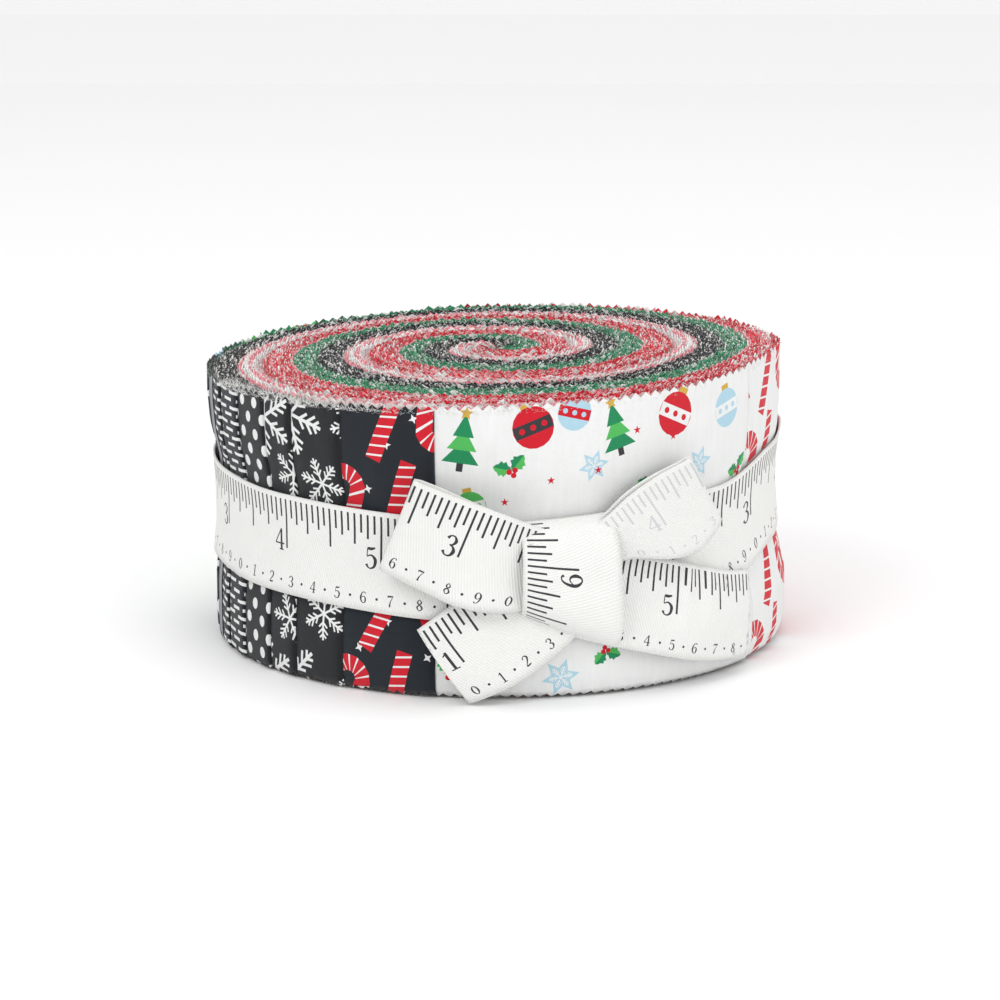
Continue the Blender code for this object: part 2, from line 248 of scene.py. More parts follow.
class Graph(Nodes):
    """A geometry node tree that grows a mesh."""

    def __init__(self, name: str) -> None:
        """Starts an empty tree with one geometry output."""
        self.tree = bpy.data.node_groups.new(name, "GeometryNodeTree")
        self.tree.interface.new_socket("Geometry", in_out="OUTPUT", socket_type="NodeSocketGeometry")
        self.given = self.tree.nodes.new("NodeGroupInput")
        self.identifiers: dict[str, str] = {}

    def ask(self, name: str, kind: str) -> bpy.types.NodeSocket:
        """Adds a named input.

        Args:
            name: The input's name.
            kind: Float, Int, Geometry or Material.

        Returns:
            The socket that gives its value inside the tree.
        """
        item = self.tree.interface.new_socket(name, in_out="INPUT", socket_type=f"NodeSocket{kind}")
        self.identifiers[name] = item.identifier
        return self.given.outputs[name]

    def random(
        self, mark: object, seed: object, low: float, high: float, shift: int = 0
    ) -> bpy.types.NodeSocket:
        """A random number that is the same for the same mark.

        Args:
            mark: Socket of the number that picks it.
            seed: Socket of the seed.
            low: Lowest value.
            high: Highest value.
            shift: Added to the seed.

        Returns:
            Its socket.
        """
        made = self.node("FunctionNodeRandomValue", data_type="FLOAT")
        made.inputs[2].default_value = low
        made.inputs[3].default_value = high
        self.tree.links.new(mark, made.inputs["ID"])
        self.tree.links.new(self.math("ADD", seed, float(shift)), made.inputs["Seed"])
        return made.outputs[1]

    def finish(self, geometry: bpy.types.NodeSocket, material: bpy.types.NodeSocket) -> None:
        """Realizes the instances, sets the material and closes the tree."""
        real = self.node("GeometryNodeRealizeInstances", {0: geometry})
        dressed = self.node("GeometryNodeSetMaterial", {"Geometry": real.outputs[0], "Material": material})
        out = self.tree.nodes.new("NodeGroupOutput")
        self.tree.links.new(dressed.outputs[0], out.inputs[0])

    def grow(self, name: str, base: bpy.types.Mesh, values: dict[str, object]) -> bpy.types.Object:
        """Runs the tree on a mesh and keeps the result as a plain object.

        Args:
            name: The new object's name.
            base: The mesh that the modifier starts from.
            values: The tree's inputs by name.

        Returns:
            The plain object, linked to the scene.
        """
        seed = bpy.data.objects.new(name + "_seed", base)
        bpy.context.scene.collection.objects.link(seed)
        modifier = seed.modifiers.new("grow", "NODES")
        modifier.node_group = self.tree
        for key, value in values.items():
            modifier[self.identifiers[key]] = value
        seed.update_tag()
        bpy.context.view_layer.update()
        graph = bpy.context.evaluated_depsgraph_get()
        mesh = bpy.data.meshes.new_from_object(seed.evaluated_get(graph))
        mesh.name = name
        seed.modifiers.clear()
        bpy.data.objects.remove(seed)
        made = bpy.data.objects.new(name, mesh)
        bpy.context.scene.collection.objects.link(made)
        return made


class Shade(Nodes):
    """A Principled material with short names for its steps."""

    def __init__(self, name: str, roughness: float, sheen: float = 0.0) -> None:
        """Starts a Principled material.

        Args:
            name: The material's name.
            roughness: Its roughness.
            sheen: How strongly its nap catches light at grazing angles.
        """
        self.material = bpy.data.materials.new(name)
        self.material.use_nodes = True
        self.tree = self.material.node_tree
        self.shader = self.tree.nodes["Principled BSDF"]
        self.shader.inputs["Roughness"].default_value = roughness
        self.shader.inputs["Sheen Weight"].default_value = sheen
        self.shader.inputs["Sheen Roughness"].default_value = 0.6
        self.shader.inputs["Specular IOR Level"].default_value = 0.2

    def mix(self, share: object, first: object, second: object) -> bpy.types.NodeSocket:
        """A colour between two, share 0 giving the first."""
        made = self.node("ShaderNodeMix", data_type="RGBA")
        sockets = {"Factor_Float": share, "A_Color": first, "B_Color": second}
        for socket in made.inputs:
            if socket.identifier in sockets:
                value = sockets[socket.identifier]
                if isinstance(value, bpy.types.NodeSocket):
                    self.tree.links.new(value, socket)
                else:
                    socket.default_value = value
        return [out for out in made.outputs if out.identifier == "Result_Color"][0]

    def noise(self, scale: float, detail: float = 2.0, coordinates: object = None) -> bpy.types.NodeSocket:
        """Even noise on object coordinates, scale in cells a metre."""
        if coordinates is None:
            coordinates = self.node("ShaderNodeTexCoord").outputs["Object"]
        feeds = {"Vector": coordinates, "Scale": scale, "Detail": detail}
        return self.node("ShaderNodeTexNoise", feeds).outputs["Fac"]

    def scaled(self, colour: bpy.types.NodeSocket, share: object) -> bpy.types.NodeSocket:
        """A colour made lighter or darker by a share."""
        feeds = {0: colour, "Scale": share}
        return self.node("ShaderNodeVectorMath", feeds, operation="SCALE").outputs[0]

    def colour(self, socket: bpy.types.NodeSocket) -> None:
        """Gives the surface its colour."""
        self.tree.links.new(socket, self.shader.inputs["Base Color"])

    def bump(self, height: bpy.types.NodeSocket, distance: float, strength: float = 1.0) -> None:
        """Gives the surface its relief, distance in metres."""
        feeds = {"Height": height, "Distance": distance, "Strength": strength}
        made = self.node("ShaderNodeBump", feeds)
        self.tree.links.new(made.outputs["Normal"], self.shader.inputs["Normal"])


@dataclass(frozen=True)
class CottonFinish:
    """Printed quilting cotton: a fine plain weave with its print in the cloth, and the weave's light and
    shade painted into the colour.

    Attributes:
        thread: Distance between two threads.
        relief: Height of the weave.
    """

    thread: float = 0.36 * MM
    relief: float = 0.05 * MM

    def make(self) -> bpy.types.Material:
        """Makes the material."""
        shade = Shade("printed_cotton", roughness=0.85, sheen=0.15)
        printed = shade.node("ShaderNodeAttribute", attribute_name="Print").outputs["Color"]
        flat = shade.node("ShaderNodeUVMap", uv_map="UVMap").outputs["UV"]
        split = shade.node("ShaderNodeSeparateXYZ", {0: flat})
        pace = 2.0 * math.pi / self.thread
        warp = shade.math("SINE", shade.math("MULTIPLY", split.outputs["X"], pace))
        weft = shade.math("SINE", shade.math("MULTIPLY", split.outputs["Y"], pace))
        weave = shade.math("MULTIPLY", warp, weft)
        slub = shade.noise(900.0, 2.0, shade.node("ShaderNodeMapping", {
            "Vector": flat, "Scale": (1.0, 0.12, 1.0)}).outputs[0])
        patchy = shade.noise(140.0, 3.0)
        # painted light and shade of the weave: the thread pattern lightens and darkens the print by 3.5%,
        # and slubs and patches then vary its tone at random
        lit = shade.math("MULTIPLY_ADD", weave, 0.035, 0.965)
        weave_shade_and_tone = shade.math("MULTIPLY", lit, shade.math("MULTIPLY_ADD", slub, 0.10, 0.95))
        weave_shade_and_tone = shade.math("MULTIPLY", weave_shade_and_tone, shade.math("MULTIPLY_ADD", patchy, 0.06, 0.97))
        shade.colour(shade.scaled(printed, weave_shade_and_tone))
        shade.bump(shade.math("MULTIPLY_ADD", slub, 0.6, weave), self.relief, 0.6)
        return shade.material


@dataclass(frozen=True)
class EdgeFinish:
    """The pinked edges of the wound strips, speckled with white thread ends and with painted shadow specks.

    Attributes:
        speck: Size of a thread end.
        whiteness: How much of an edge shows its white threads.
    """

    speck: float = 0.42 * MM
    whiteness: float = 0.445

    def shifted(self, shade: Shade) -> bpy.types.NodeSocket:
        """Object coordinates moved aside, so that a second noise differs from the first."""
        place = shade.node("ShaderNodeTexCoord").outputs["Object"]
        return shade.node("ShaderNodeVectorMath", {0: place, 1: (0.7, 0.3, 0.1)}, operation="ADD").outputs[0]

    def make(self) -> bpy.types.Material:
        """Makes the material."""
        shade = Shade("pinked_edges", roughness=0.95, sheen=0.25)
        tint = shade.node("ShaderNodeAttribute", attribute_name="Tint").outputs["Color"]
        specks = shade.noise(1.0 / self.speck, 1.0)
        grains = shade.noise(0.45 / self.speck, 1.0)
        mixed = shade.math("MULTIPLY_ADD", grains, 0.5, shade.math("MULTIPLY", specks, 0.5))
        spots = shade.node("ShaderNodeMapRange", {
            "Value": mixed, "From Min": 1.0 - self.whiteness - 0.03,
            "From Max": 1.0 - self.whiteness + 0.04})
        pale = shade.math("MULTIPLY", spots.outputs[0], 0.85)
        mixed = shade.mix(pale, tint, (*Dye.CREAM.value, 1.0))
        # painted shade: noise spots darken the edge colour to 0.55 as shadow specks between the thread ends
        hollow = shade.node("ShaderNodeMapRange", {
            "Value": shade.noise(0.8 / self.speck, 1.0, self.shifted(shade)),
            "From Min": 0.52, "From Max": 0.66, "To Min": 1.0, "To Max": 0.55})
        shade.colour(shade.scaled(mixed, hollow.outputs[0]))
        shade.bump(specks, 0.12 * MM, 0.8)
        return shade.material


@dataclass(frozen=True)
class SpiralFinish:
    """The same edges seen deep between the teeth, or as loose fibres: bands that follow the spiral.

    Attributes:
        name: The material's name.
        depth: Share of the bands' own colour, the rest being lint.
        dim: How dark it is, because little light reaches it.
    """

    name: str
    depth: float
    dim: float

    def make(self) -> bpy.types.Material:
        """Makes the material."""
        shade = Shade(self.name, roughness=0.95, sheen=0.2)
        place = shade.node("ShaderNodeTexCoord").outputs["Object"]
        split = shade.node("ShaderNodeSeparateXYZ", {0: place})
        x, y = split.outputs["X"], split.outputs["Y"]
        turned = shade.math("DIVIDE", shade.math("ARCTAN2", y, x), 2.0 * math.pi)
        squares = shade.math("ADD", shade.math("MULTIPLY", x, x), shade.math("MULTIPLY", y, y))
        inward = shade.math("SUBTRACT", DRUM.radius, shade.math("SQRT", squares))
        across = shade.math("ADD", shade.math("DIVIDE", inward, DRUM.stack), turned)
        wander = shade.math("MULTIPLY_ADD", shade.noise(300.0), 0.04, across)
        band = shade.math("FRACT", shade.math("SUBTRACT", wander, 0.02))
        ramp = shade.node("ShaderNodeValToRGB", {"Fac": band})
        ramp.color_ramp.interpolation = "CONSTANT"
        stops = [(start, STACK_COLOURS[group][0]) for group, start, _ in STACK_GROUPS]
        for index, (start, dye) in enumerate(stops):
            stop = ramp.color_ramp.elements[index] if index < 2 else ramp.color_ramp.elements.new(start)
            stop.position = start
            stop.color = (*dye.value, 1.0)
        lint = (*Dye.CREAM.value, 1.0)
        mixed = shade.mix(self.depth, lint, ramp.outputs["Color"])
        shade.colour(shade.scaled(mixed, self.dim))
        shade.bump(shade.noise(2500.0), 0.15 * MM, 0.6)
        return shade.material


@dataclass(frozen=True)
class LintFinish:
    """White cotton fibres."""

    def make(self) -> bpy.types.Material:
        """Makes the material."""
        shade = Shade("white_lint", roughness=0.95, sheen=0.3)
        shade.colour(shade.mix(shade.noise(900.0), (*Dye.WHITE.value, 1.0), (*Dye.CREAM.value, 1.0)))
        return shade.material


@dataclass(frozen=True)
class TapeFinish:
    """Cotton twill tape: fine slanting ribs, a firm edge, and marks printed in black.

    Attributes:
        rib: Distance between two ribs.
        slant: How much a rib climbs for each step along the tape.
        relief: Height of the ribs.
    """

    rib: float = 0.62 * MM
    slant: float = 2.6
    relief: float = 0.05 * MM

    def make(self) -> bpy.types.Material:
        """Makes the material."""
        shade = Shade("twill_tape", roughness=0.8, sheen=0.15)
        printed = shade.node("ShaderNodeAttribute", attribute_name="Print").outputs["Color"]
        flat = shade.node("ShaderNodeUVMap", uv_map="UVMap").outputs["UV"]
        split = shade.node("ShaderNodeSeparateXYZ", {0: flat})
        along, across = split.outputs["X"], split.outputs["Y"]
        pace = 2.0 * math.pi / self.rib
        slanted = shade.math("MULTIPLY_ADD", along, self.slant, across)
        ribs = shade.math("SINE", shade.math("MULTIPLY", slanted, pace / math.hypot(1.0, self.slant)))
        cross = shade.math("SINE", shade.math("MULTIPLY", across, pace * 0.9))
        weave = shade.math("MULTIPLY_ADD", cross, 0.12, ribs)
        uneven = shade.noise(260.0, 3.0)
        lit = shade.math("MULTIPLY_ADD", ribs, 0.035, 0.95)
        tone = shade.math("MULTIPLY", lit, shade.math("MULTIPLY_ADD", uneven, 0.06, 0.97))
        shade.colour(shade.scaled(printed, tone))
        shade.bump(shade.math("MULTIPLY_ADD", uneven, 0.5, weave), self.relief, 0.7)
        return shade.material


@dataclass(frozen=True)
class FloorFinish:
    """The pale floor of the studio."""

    pale: Colour = (0.93, 0.93, 0.93)

    def make(self) -> bpy.types.Material:
        """Makes the material."""
        shade = Shade("pale_floor", roughness=0.9)
        soft = shade.noise(3.0)
        shade.colour(shade.mix(soft, (*self.pale, 1.0), tuple(0.985 * part for part in self.pale) + (1.0,)))
        return shade.material


# Where each colour group lies across the stack, from 0 at its outside to 1
STACK_GROUPS: list[tuple[Group, float, float]] = [
    (Group.RED, 0.0, 0.300),
    (Group.GREEN, 0.300, 0.540),
    (Group.BLACK, 0.540, 0.770),
    (Group.WHITE, 0.770, 1.0),
]

# The colours of the cloths in each group, the commonest first
STACK_COLOURS: dict[Group, list[Dye]] = {
    Group.RED: [Dye.RED, Dye.CORAL, Dye.CORAL, Dye.RED, Dye.PINK],
    Group.GREEN: [Dye.GREEN, Dye.PINE, Dye.GREEN, Dye.DARK_GREEN],
    Group.BLACK: [Dye.BLACK, Dye.NAVY, Dye.BLACK, Dye.BLACK],
    Group.WHITE: [Dye.WHITE, Dye.CREAM, Dye.WHITE, Dye.PINK],
}


def paint_corners(mesh: bpy.types.Mesh, name: str, colours: np.ndarray) -> None:
    """Writes one colour a face to a colour attribute on its corners.

    Args:
        mesh: The mesh.
        name: The attribute's name.
        colours: Linear colours, one row of three for each face.
    """
    counts = np.empty(len(mesh.polygons), np.int32)
    mesh.polygons.foreach_get("loop_total", counts)
    corners = np.repeat(colours, counts, axis=0)
    filled = np.ones((len(corners), 4), np.float32)
    filled[:, :3] = corners
    layer = mesh.color_attributes.new(name, "FLOAT_COLOR", "CORNER")
    layer.data.foreach_set("color", filled.ravel())


def points_of(mesh: bpy.types.Mesh) -> np.ndarray:
    """A mesh's points, as rows of three."""
    points = np.empty(len(mesh.vertices) * 3, np.float32)
    mesh.vertices.foreach_get("co", points)
    return points.reshape(-1, 3).astype(np.float64)


def move_points(mesh: bpy.types.Mesh, points: np.ndarray) -> None:
    """Gives a mesh new points."""
    mesh.vertices.foreach_set("co", points.astype(np.float32).ravel())
    mesh.update()


@dataclass
class WoundEdges:
    """The pinked edges of all eighty layers, wound in one spiral, on one face of the roll.

    Attributes:
        face: The top or the base.
        layers: Layers of cloth in the stack.
        tooth: Distance between two pinked teeth.
        rise: Height of a tooth.
        cloth: Thickness of one layer as it is drawn.
        depth: How far down the layers are drawn.
        eye: Radius at which the winding starts.
        margin: How far inside the side the layers end.
        uneven: How far one layer stands above another.
        wander: How far a layer strays sideways.
        seed: Seed of all that is random.
        creases: Place across the stack, depth and half width of each crease.
    """

    face: Face
    layers: int = 80
    tooth: float = 2.5 * MM
    rise: float = 0.85 * MM
    cloth: float = 0.24 * MM
    depth: float = 3.2 * MM
    eye: float = 1.6 * MM
    margin: float = 0.9 * MM
    uneven: float = 0.32 * MM
    wander: float = 0.16 * MM
    seed: int = 7
    creases: tuple[tuple[float, float, float], ...] = (
        (0.300, 0.5 * MM, 0.030),
        (0.540, 0.5 * MM, 0.030),
        (0.770, 0.6 * MM, 0.030),
        (0.985, 1.5 * MM, 0.036),
    )

    def tree(self) -> Graph:
        """Builds the node tree that winds pinked ribbons round the spiral.

        Returns:
            The tree, with inputs for its sizes.
        """
        graph = Graph("wound_edges")
        graph.ask("Geometry", "Geometry")
        count, samples = graph.ask("Layers", "Int"), graph.ask("Samples", "Int")
        first, spacing = graph.ask("First Place", "Float"), graph.ask("Place Step", "Float")
        stack, radius = graph.ask("Stack", "Float"), graph.ask("Radius", "Float")
        start, pace = graph.ask("Start Arc", "Float"), graph.ask("Arc Step", "Float")
        rise, depth = graph.ask("Rise", "Float"), graph.ask("Depth", "Float")
        cloth, uneven = graph.ask("Cloth", "Float"), graph.ask("Uneven", "Float")
        wander, seed = graph.ask("Wander", "Float"), graph.ask("Seed", "Int")
        material = graph.ask("Material", "Material")
        length = graph.math("SUBTRACT", samples, 1.0)
        grid = graph.node("GeometryNodeMeshGrid", {
            "Size X": 4.0, "Size Y": length, "Vertices X": 5, "Vertices Y": samples})
        single = graph.node("GeometryNodeGeometryToInstance", {0: grid.outputs["Mesh"]})
        copies = graph.node("GeometryNodeDuplicateElements", {
            "Geometry": single.outputs[0], "Amount": count}, domain="INSTANCE")
        stored = graph.node("GeometryNodeStoreNamedAttribute", {
            "Geometry": copies.outputs["Geometry"], "Name": "layer",
            "Value": copies.outputs["Duplicate Index"]}, data_type="FLOAT", domain="INSTANCE")
        real = graph.node("GeometryNodeRealizeInstances", {0: stored.outputs[0]})
        named = graph.node("GeometryNodeInputNamedAttribute", {"Name": "layer"}, data_type="FLOAT")
        layer = named.outputs[0]
        spot = graph.node("ShaderNodeSeparateXYZ", {0: graph.node("GeometryNodeInputPosition").outputs[0]})
        row = graph.math("ROUND", graph.math("ADD", spot.outputs["X"], 2.0))
        along = graph.math("ROUND", graph.math("ADD", spot.outputs["Y"], graph.math("DIVIDE", length, 2.0)))
        slide = graph.random(layer, seed, 0.0, 1.0)
        arc = graph.math("MULTIPLY_ADD", graph.math("ADD", along, slide), pace, start)
        middle = graph.math("SQRT", graph.math("DIVIDE", graph.math("MULTIPLY", arc, stack), math.pi))
        wound = graph.math("DIVIDE", middle, stack)
        place = graph.math("MULTIPLY_ADD", graph.math("ADD", layer, 0.5), spacing, first)
        turns = graph.math("ADD", wound, graph.math("SUBTRACT", place, graph.math("DIVIDE", radius, stack)))
        angle = graph.math("MULTIPLY", turns, 2.0 * math.pi)
        inner = graph.math("LESS_THAN", graph.math("ABSOLUTE", graph.math("SUBTRACT", row, 2.5)), 1.0)
        upper = graph.math("LESS_THAN", graph.math("ABSOLUTE", graph.math("SUBTRACT", row, 1.5)), 1.0)
        after = graph.math("GREATER_THAN", along, 0.5)
        before = graph.math("LESS_THAN", along, graph.math("SUBTRACT", length, 0.5))
        open_here = graph.math("MULTIPLY", after, before)
        half = graph.math("MULTIPLY", graph.math("MULTIPLY", cloth, open_here), 0.5)
        sign = graph.math("MULTIPLY_ADD", inner, -2.0, 1.0)
        at = graph.node("ShaderNodeCombineXYZ", {0: graph.math("MULTIPLY", wound, 20.0), 1: place})
        noise = graph.node("ShaderNodeTexNoise", {"Vector": at.outputs[0], "Scale": 3.0, "Detail": 2.0})
        stray = graph.math("MULTIPLY", graph.math("SUBTRACT", noise.outputs["Fac"], 0.5), wander)
        faced = graph.math("MULTIPLY_ADD", sign, half, middle)
        reach = graph.math("ADD", faced, graph.math("MULTIPLY", stray, 4.0))
        tip = graph.math("MODULO", along, 2.0)
        mark = graph.math("MULTIPLY_ADD", layer, 977.0, along)
        ragged = graph.random(mark, seed, -0.35, 0.35)
        tooth = graph.math("MULTIPLY", graph.math("ADD", tip, ragged), rise)
        lift = graph.math("MULTIPLY", graph.random(layer, seed, -1.0, 1.0, 5), uneven)
        crest = graph.math("ADD", tooth, lift)
        low = graph.math("MULTIPLY", graph.math("SUBTRACT", 1.0, upper), depth)
        high = graph.math("MULTIPLY", crest, upper)
        height = graph.math("SUBTRACT", high, low)
        put = graph.node("ShaderNodeCombineXYZ", {
            0: graph.math("MULTIPLY", reach, graph.math("COSINE", angle)),
            1: graph.math("MULTIPLY", reach, graph.math("SINE", angle)),
            2: height})
        kept = graph.node("GeometryNodeStoreNamedAttribute", {
            "Geometry": real.outputs[0], "Name": "along", "Value": along}, data_type="FLOAT", domain="POINT")
        placed = graph.node("GeometryNodeSetPosition", {
            "Geometry": kept.outputs[0], "Position": put.outputs[0]})
        merged = graph.node("GeometryNodeMergeByDistance", {
            "Geometry": placed.outputs[0], "Distance": 0.0005 * MM})
        graph.finish(merged.outputs[0], material)
        return graph

    def build(self, finish: bpy.types.Material) -> list[bpy.types.Object]:
        """Winds one object for each colour group.

        Args:
            finish: The material of the edges.

        Returns:
            The objects.
        """
        graph = self.tree()
        first_arc = math.pi * self.eye**2 / DRUM.stack
        last_arc = math.pi * (DRUM.radius - self.margin) ** 2 / DRUM.stack
        samples = int((last_arc - first_arc) / (self.tooth / 2.0))
        made = []
        for group, start, end in STACK_GROUPS:
            layers = round(end * self.layers) - round(start * self.layers)
            values = {
                "Layers": layers, "Samples": samples,
                "First Place": round(start * self.layers) / self.layers,
                "Place Step": 1.0 / self.layers, "Stack": DRUM.stack, "Radius": DRUM.radius,
                "Start Arc": first_arc, "Arc Step": (last_arc - first_arc) / samples,
                "Rise": self.rise, "Depth": self.depth, "Cloth": self.cloth,
                "Uneven": self.uneven, "Wander": self.wander,
                "Seed": self.seed + group.value, "Material": finish,
            }
            name = f"{group.name.lower()}_edges_{self.face.name.lower()}"
            piece = graph.grow(name, bpy.data.meshes.new(name + "_seed"), values)
            self.lay(piece.data)
            self.tint(piece.data, group)
            made.append(piece)
        return made

    def lay(self, mesh: bpy.types.Mesh) -> None:
        """Lays the flat winding on the roll's face, down into its creases."""
        points = points_of(mesh)
        x, y, z = points.T
        place = DRUM.place(x, y)
        sunk = np.zeros(len(x))
        for crease, depth, half in self.creases:
            apart = np.abs((place - crease + 0.5) % 1.0 - 0.5)
            sunk += depth * np.exp(-((apart / half) ** 2))
        if self.face is Face.TOP:
            edge = np.clip((np.hypot(x, y) - DRUM.radius + 4.0 * MM) / (4.0 * MM), 0.0, 1.0)
            points[:, 2] = DRUM.top(x, y) + z - sunk - self.rise * 0.6 - 0.5 * MM * edge**2
            move_points(mesh, points)
            mesh.flip_normals()
            return
        tip = self.rise * 1.35 + self.uneven
        points[:, 2] = np.maximum(tip - z + sunk * 0.6, 0.0)
        move_points(mesh, points)

    def tint(self, mesh: bpy.types.Mesh, group: Group) -> None:
        """Colours each tooth by its layer's cloth, some of them with the white of its print."""
        rng = np.random.default_rng(self.seed + group.value)
        layer = np.empty(len(mesh.vertices), np.float32)
        mesh.attributes["layer"].data.foreach_get("value", layer)
        along = np.empty(len(mesh.vertices), np.float32)
        mesh.attributes["along"].data.foreach_get("value", along)
        firsts = np.empty(len(mesh.polygons), np.int32)
        mesh.polygons.foreach_get("loop_start", firsts)
        loops = np.empty(len(mesh.loops), np.int32)
        mesh.loops.foreach_get("vertex_index", loops)
        corner = loops[firsts]
        cloth = np.round(layer[corner]).astype(int) // 2
        dyes = np.array([dye.value for dye in STACK_COLOURS[group]])
        chosen = rng.integers(0, len(dyes), 64)
        colours = dyes[chosen[cloth]]
        tooth = np.round(along[corner]).astype(int) // 2 + 500 * np.round(layer[corner]).astype(int)
        table = rng.random(60000)
        luck = table[tooth % len(table)]
        white = np.array(Dye.WHITE.value)
        paler = np.where(luck[:, None] < 0.09, white[None, :] * 0.95, colours)
        shaded = paler * (0.80 + 0.30 * table[(tooth * 7 + 3) % len(table)])[:, None]
        paint_corners(mesh, "Tint", np.clip(shaded, 0.0, 1.0))


@dataclass
class WoundCore:
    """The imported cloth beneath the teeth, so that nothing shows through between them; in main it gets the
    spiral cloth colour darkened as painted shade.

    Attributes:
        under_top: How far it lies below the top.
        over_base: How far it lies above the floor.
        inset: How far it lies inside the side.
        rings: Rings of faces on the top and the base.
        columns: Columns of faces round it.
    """

    under_top: float = 2.6 * MM
    over_base: float = 2.4 * MM
    inset: float = 1.3 * MM
    rings: int = 24
    columns: int = 120

    def build(self, finish: bpy.types.Material) -> bpy.types.Object:
        """Builds the closed core.

        Args:
            finish: Its material.

        Returns:
            The object.
        """
        angles = np.arange(self.columns) * 360.0 / self.columns
        bm = bmesh.new()
        edge_height = self.over_base
        rows = []
        for ring in range(1, self.rings + 1):
            radius = (DRUM.side(angles, np.full(self.columns, 5.0 * MM)) - self.inset - 1.5 * MM)
            rows.append(polar(radius * ring / self.rings, angles, np.full(self.columns, edge_height)))
        for height in (8.0, 16.0, 22.0, 27.0, 36.0, 43.0, 49.0, 56.0):
            level = np.full(self.columns, height * MM)
            rows.append(polar(DRUM.side(angles, level) - self.inset, angles, level))
        for ring in range(self.rings, 0, -1):
            radius = (DRUM.side(angles, np.full(self.columns, DRUM.width)) - self.inset) * ring / self.rings
            flat = polar(radius, angles, np.zeros(self.columns))
            flat[:, 2] = DRUM.top(flat[:, 0], flat[:, 1]) - self.under_top
            rows.append(flat)
        grid = [[bm.verts.new(point) for point in row] for row in rows]
        for lower, upper in zip(grid, grid[1:]):
            for index in range(self.columns):
                after = (index + 1) % self.columns
                bm.faces.new((lower[index], lower[after], upper[after], upper[index]))
        middles = (
            bm.verts.new((0.0, 0.0, edge_height)),
            bm.verts.new((0.0, 0.0, DRUM.width + DRUM.crown - self.under_top)),
        )
        for middle, ring in zip(middles, (grid[0][::-1], grid[-1])):
            for index in range(self.columns):
                bm.faces.new((middle, ring[index], ring[(index + 1) % self.columns]))
        bmesh.ops.recalc_face_normals(bm, faces=bm.faces[:])
        mesh = bpy.data.meshes.new("wound_core")
        bm.to_mesh(mesh)
        bm.free()
        mesh.materials.append(finish)
        made = bpy.data.objects.new("wound_core", mesh)
        bpy.context.scene.collection.objects.link(made)
        return made


@dataclass
class Lint:
    """Loose fibres that stand on the pinked edges.

    Attributes:
        name: The object's name.
        density: Fibres a square metre.
        length: Length of a fibre.
        girth: Radius of a fibre.
        tilt: How far from upright the fibres may lie, in degrees.
        seed: Seed of the scatter.
    """

    name: str
    density: float
    length: float = 1.5 * MM
    girth: float = 0.035 * MM
    tilt: float = 80.0
    seed: int = 3

    def build(self, ground: bpy.types.Mesh, finish: bpy.types.Material) -> bpy.types.Object:
        """Scatters the fibres over a surface.

        Args:
            ground: The surface that they stand on.
            finish: Their material.

        Returns:
            The object.
        """
        graph = Graph("lint_" + self.name)
        surface = graph.ask("Geometry", "Geometry")
        density, length = graph.ask("Density", "Float"), graph.ask("Length", "Float")
        girth, tilt = graph.ask("Girth", "Float"), graph.ask("Tilt", "Float")
        seed, material = graph.ask("Seed", "Int"), graph.ask("Material", "Material")
        spots = graph.node("GeometryNodeDistributePointsOnFaces", {
            "Mesh": surface, "Density": density, "Seed": seed})
        fibre = graph.node("GeometryNodeMeshCone", {
            "Vertices": 3, "Radius Top": 0.0, "Radius Bottom": girth, "Depth": length})
        number = graph.node("GeometryNodeInputIndex").outputs[0]
        lean = graph.math("MULTIPLY", graph.random(number, seed, 0.15, 1.0), tilt)
        turn = graph.random(number, seed, 0.0, 2.0 * math.pi, 1)
        spin = graph.node("ShaderNodeCombineXYZ", {0: lean, 2: turn})
        grown = graph.random(number, seed, 0.35, 1.25, 2)
        stretch = graph.node("ShaderNodeCombineXYZ", {0: 1.0, 1: 1.0, 2: grown})
        copies = graph.node("GeometryNodeInstanceOnPoints", {
            "Points": spots.outputs["Points"], "Instance": fibre.outputs["Mesh"],
            "Rotation": spin.outputs[0], "Scale": stretch.outputs[0]})
        graph.finish(copies.outputs[0], material)
        values = {
            "Density": self.density, "Length": self.length, "Girth": self.girth,
            "Tilt": math.radians(self.tilt), "Seed": self.seed, "Material": finish,
        }
        return graph.grow(self.name, ground, values)


def crown_surface(lift: float, outer: float, rings: int = 20, columns: int = 90) -> bpy.types.Mesh:
    """An open surface over the top of the roll, for fibres to stand on.

    Args:
        lift: How far above the mean top it lies.
        outer: Its outer radius.
        rings: Rings of faces.
        columns: Columns of faces.

    Returns:
        The mesh.
    """
    angles = np.arange(columns) * 360.0 / columns
    points = []
    for ring in range(1, rings + 1):
        row = polar(np.full(columns, outer * ring / rings), angles, np.zeros(columns))
        row[:, 2] = DRUM.top(row[:, 0], row[:, 1]) + lift
        points.extend(row.tolist())
    faces = []
    for ring in range(rings - 1):
        for index in range(columns):
            after = (index + 1) % columns
            low, high = ring * columns, (ring + 1) * columns
            faces.append((low + index, high + index, high + after, low + after))
    mesh = bpy.data.meshes.new("crown_surface")
    mesh.from_pydata(points, [], faces)
    return mesh


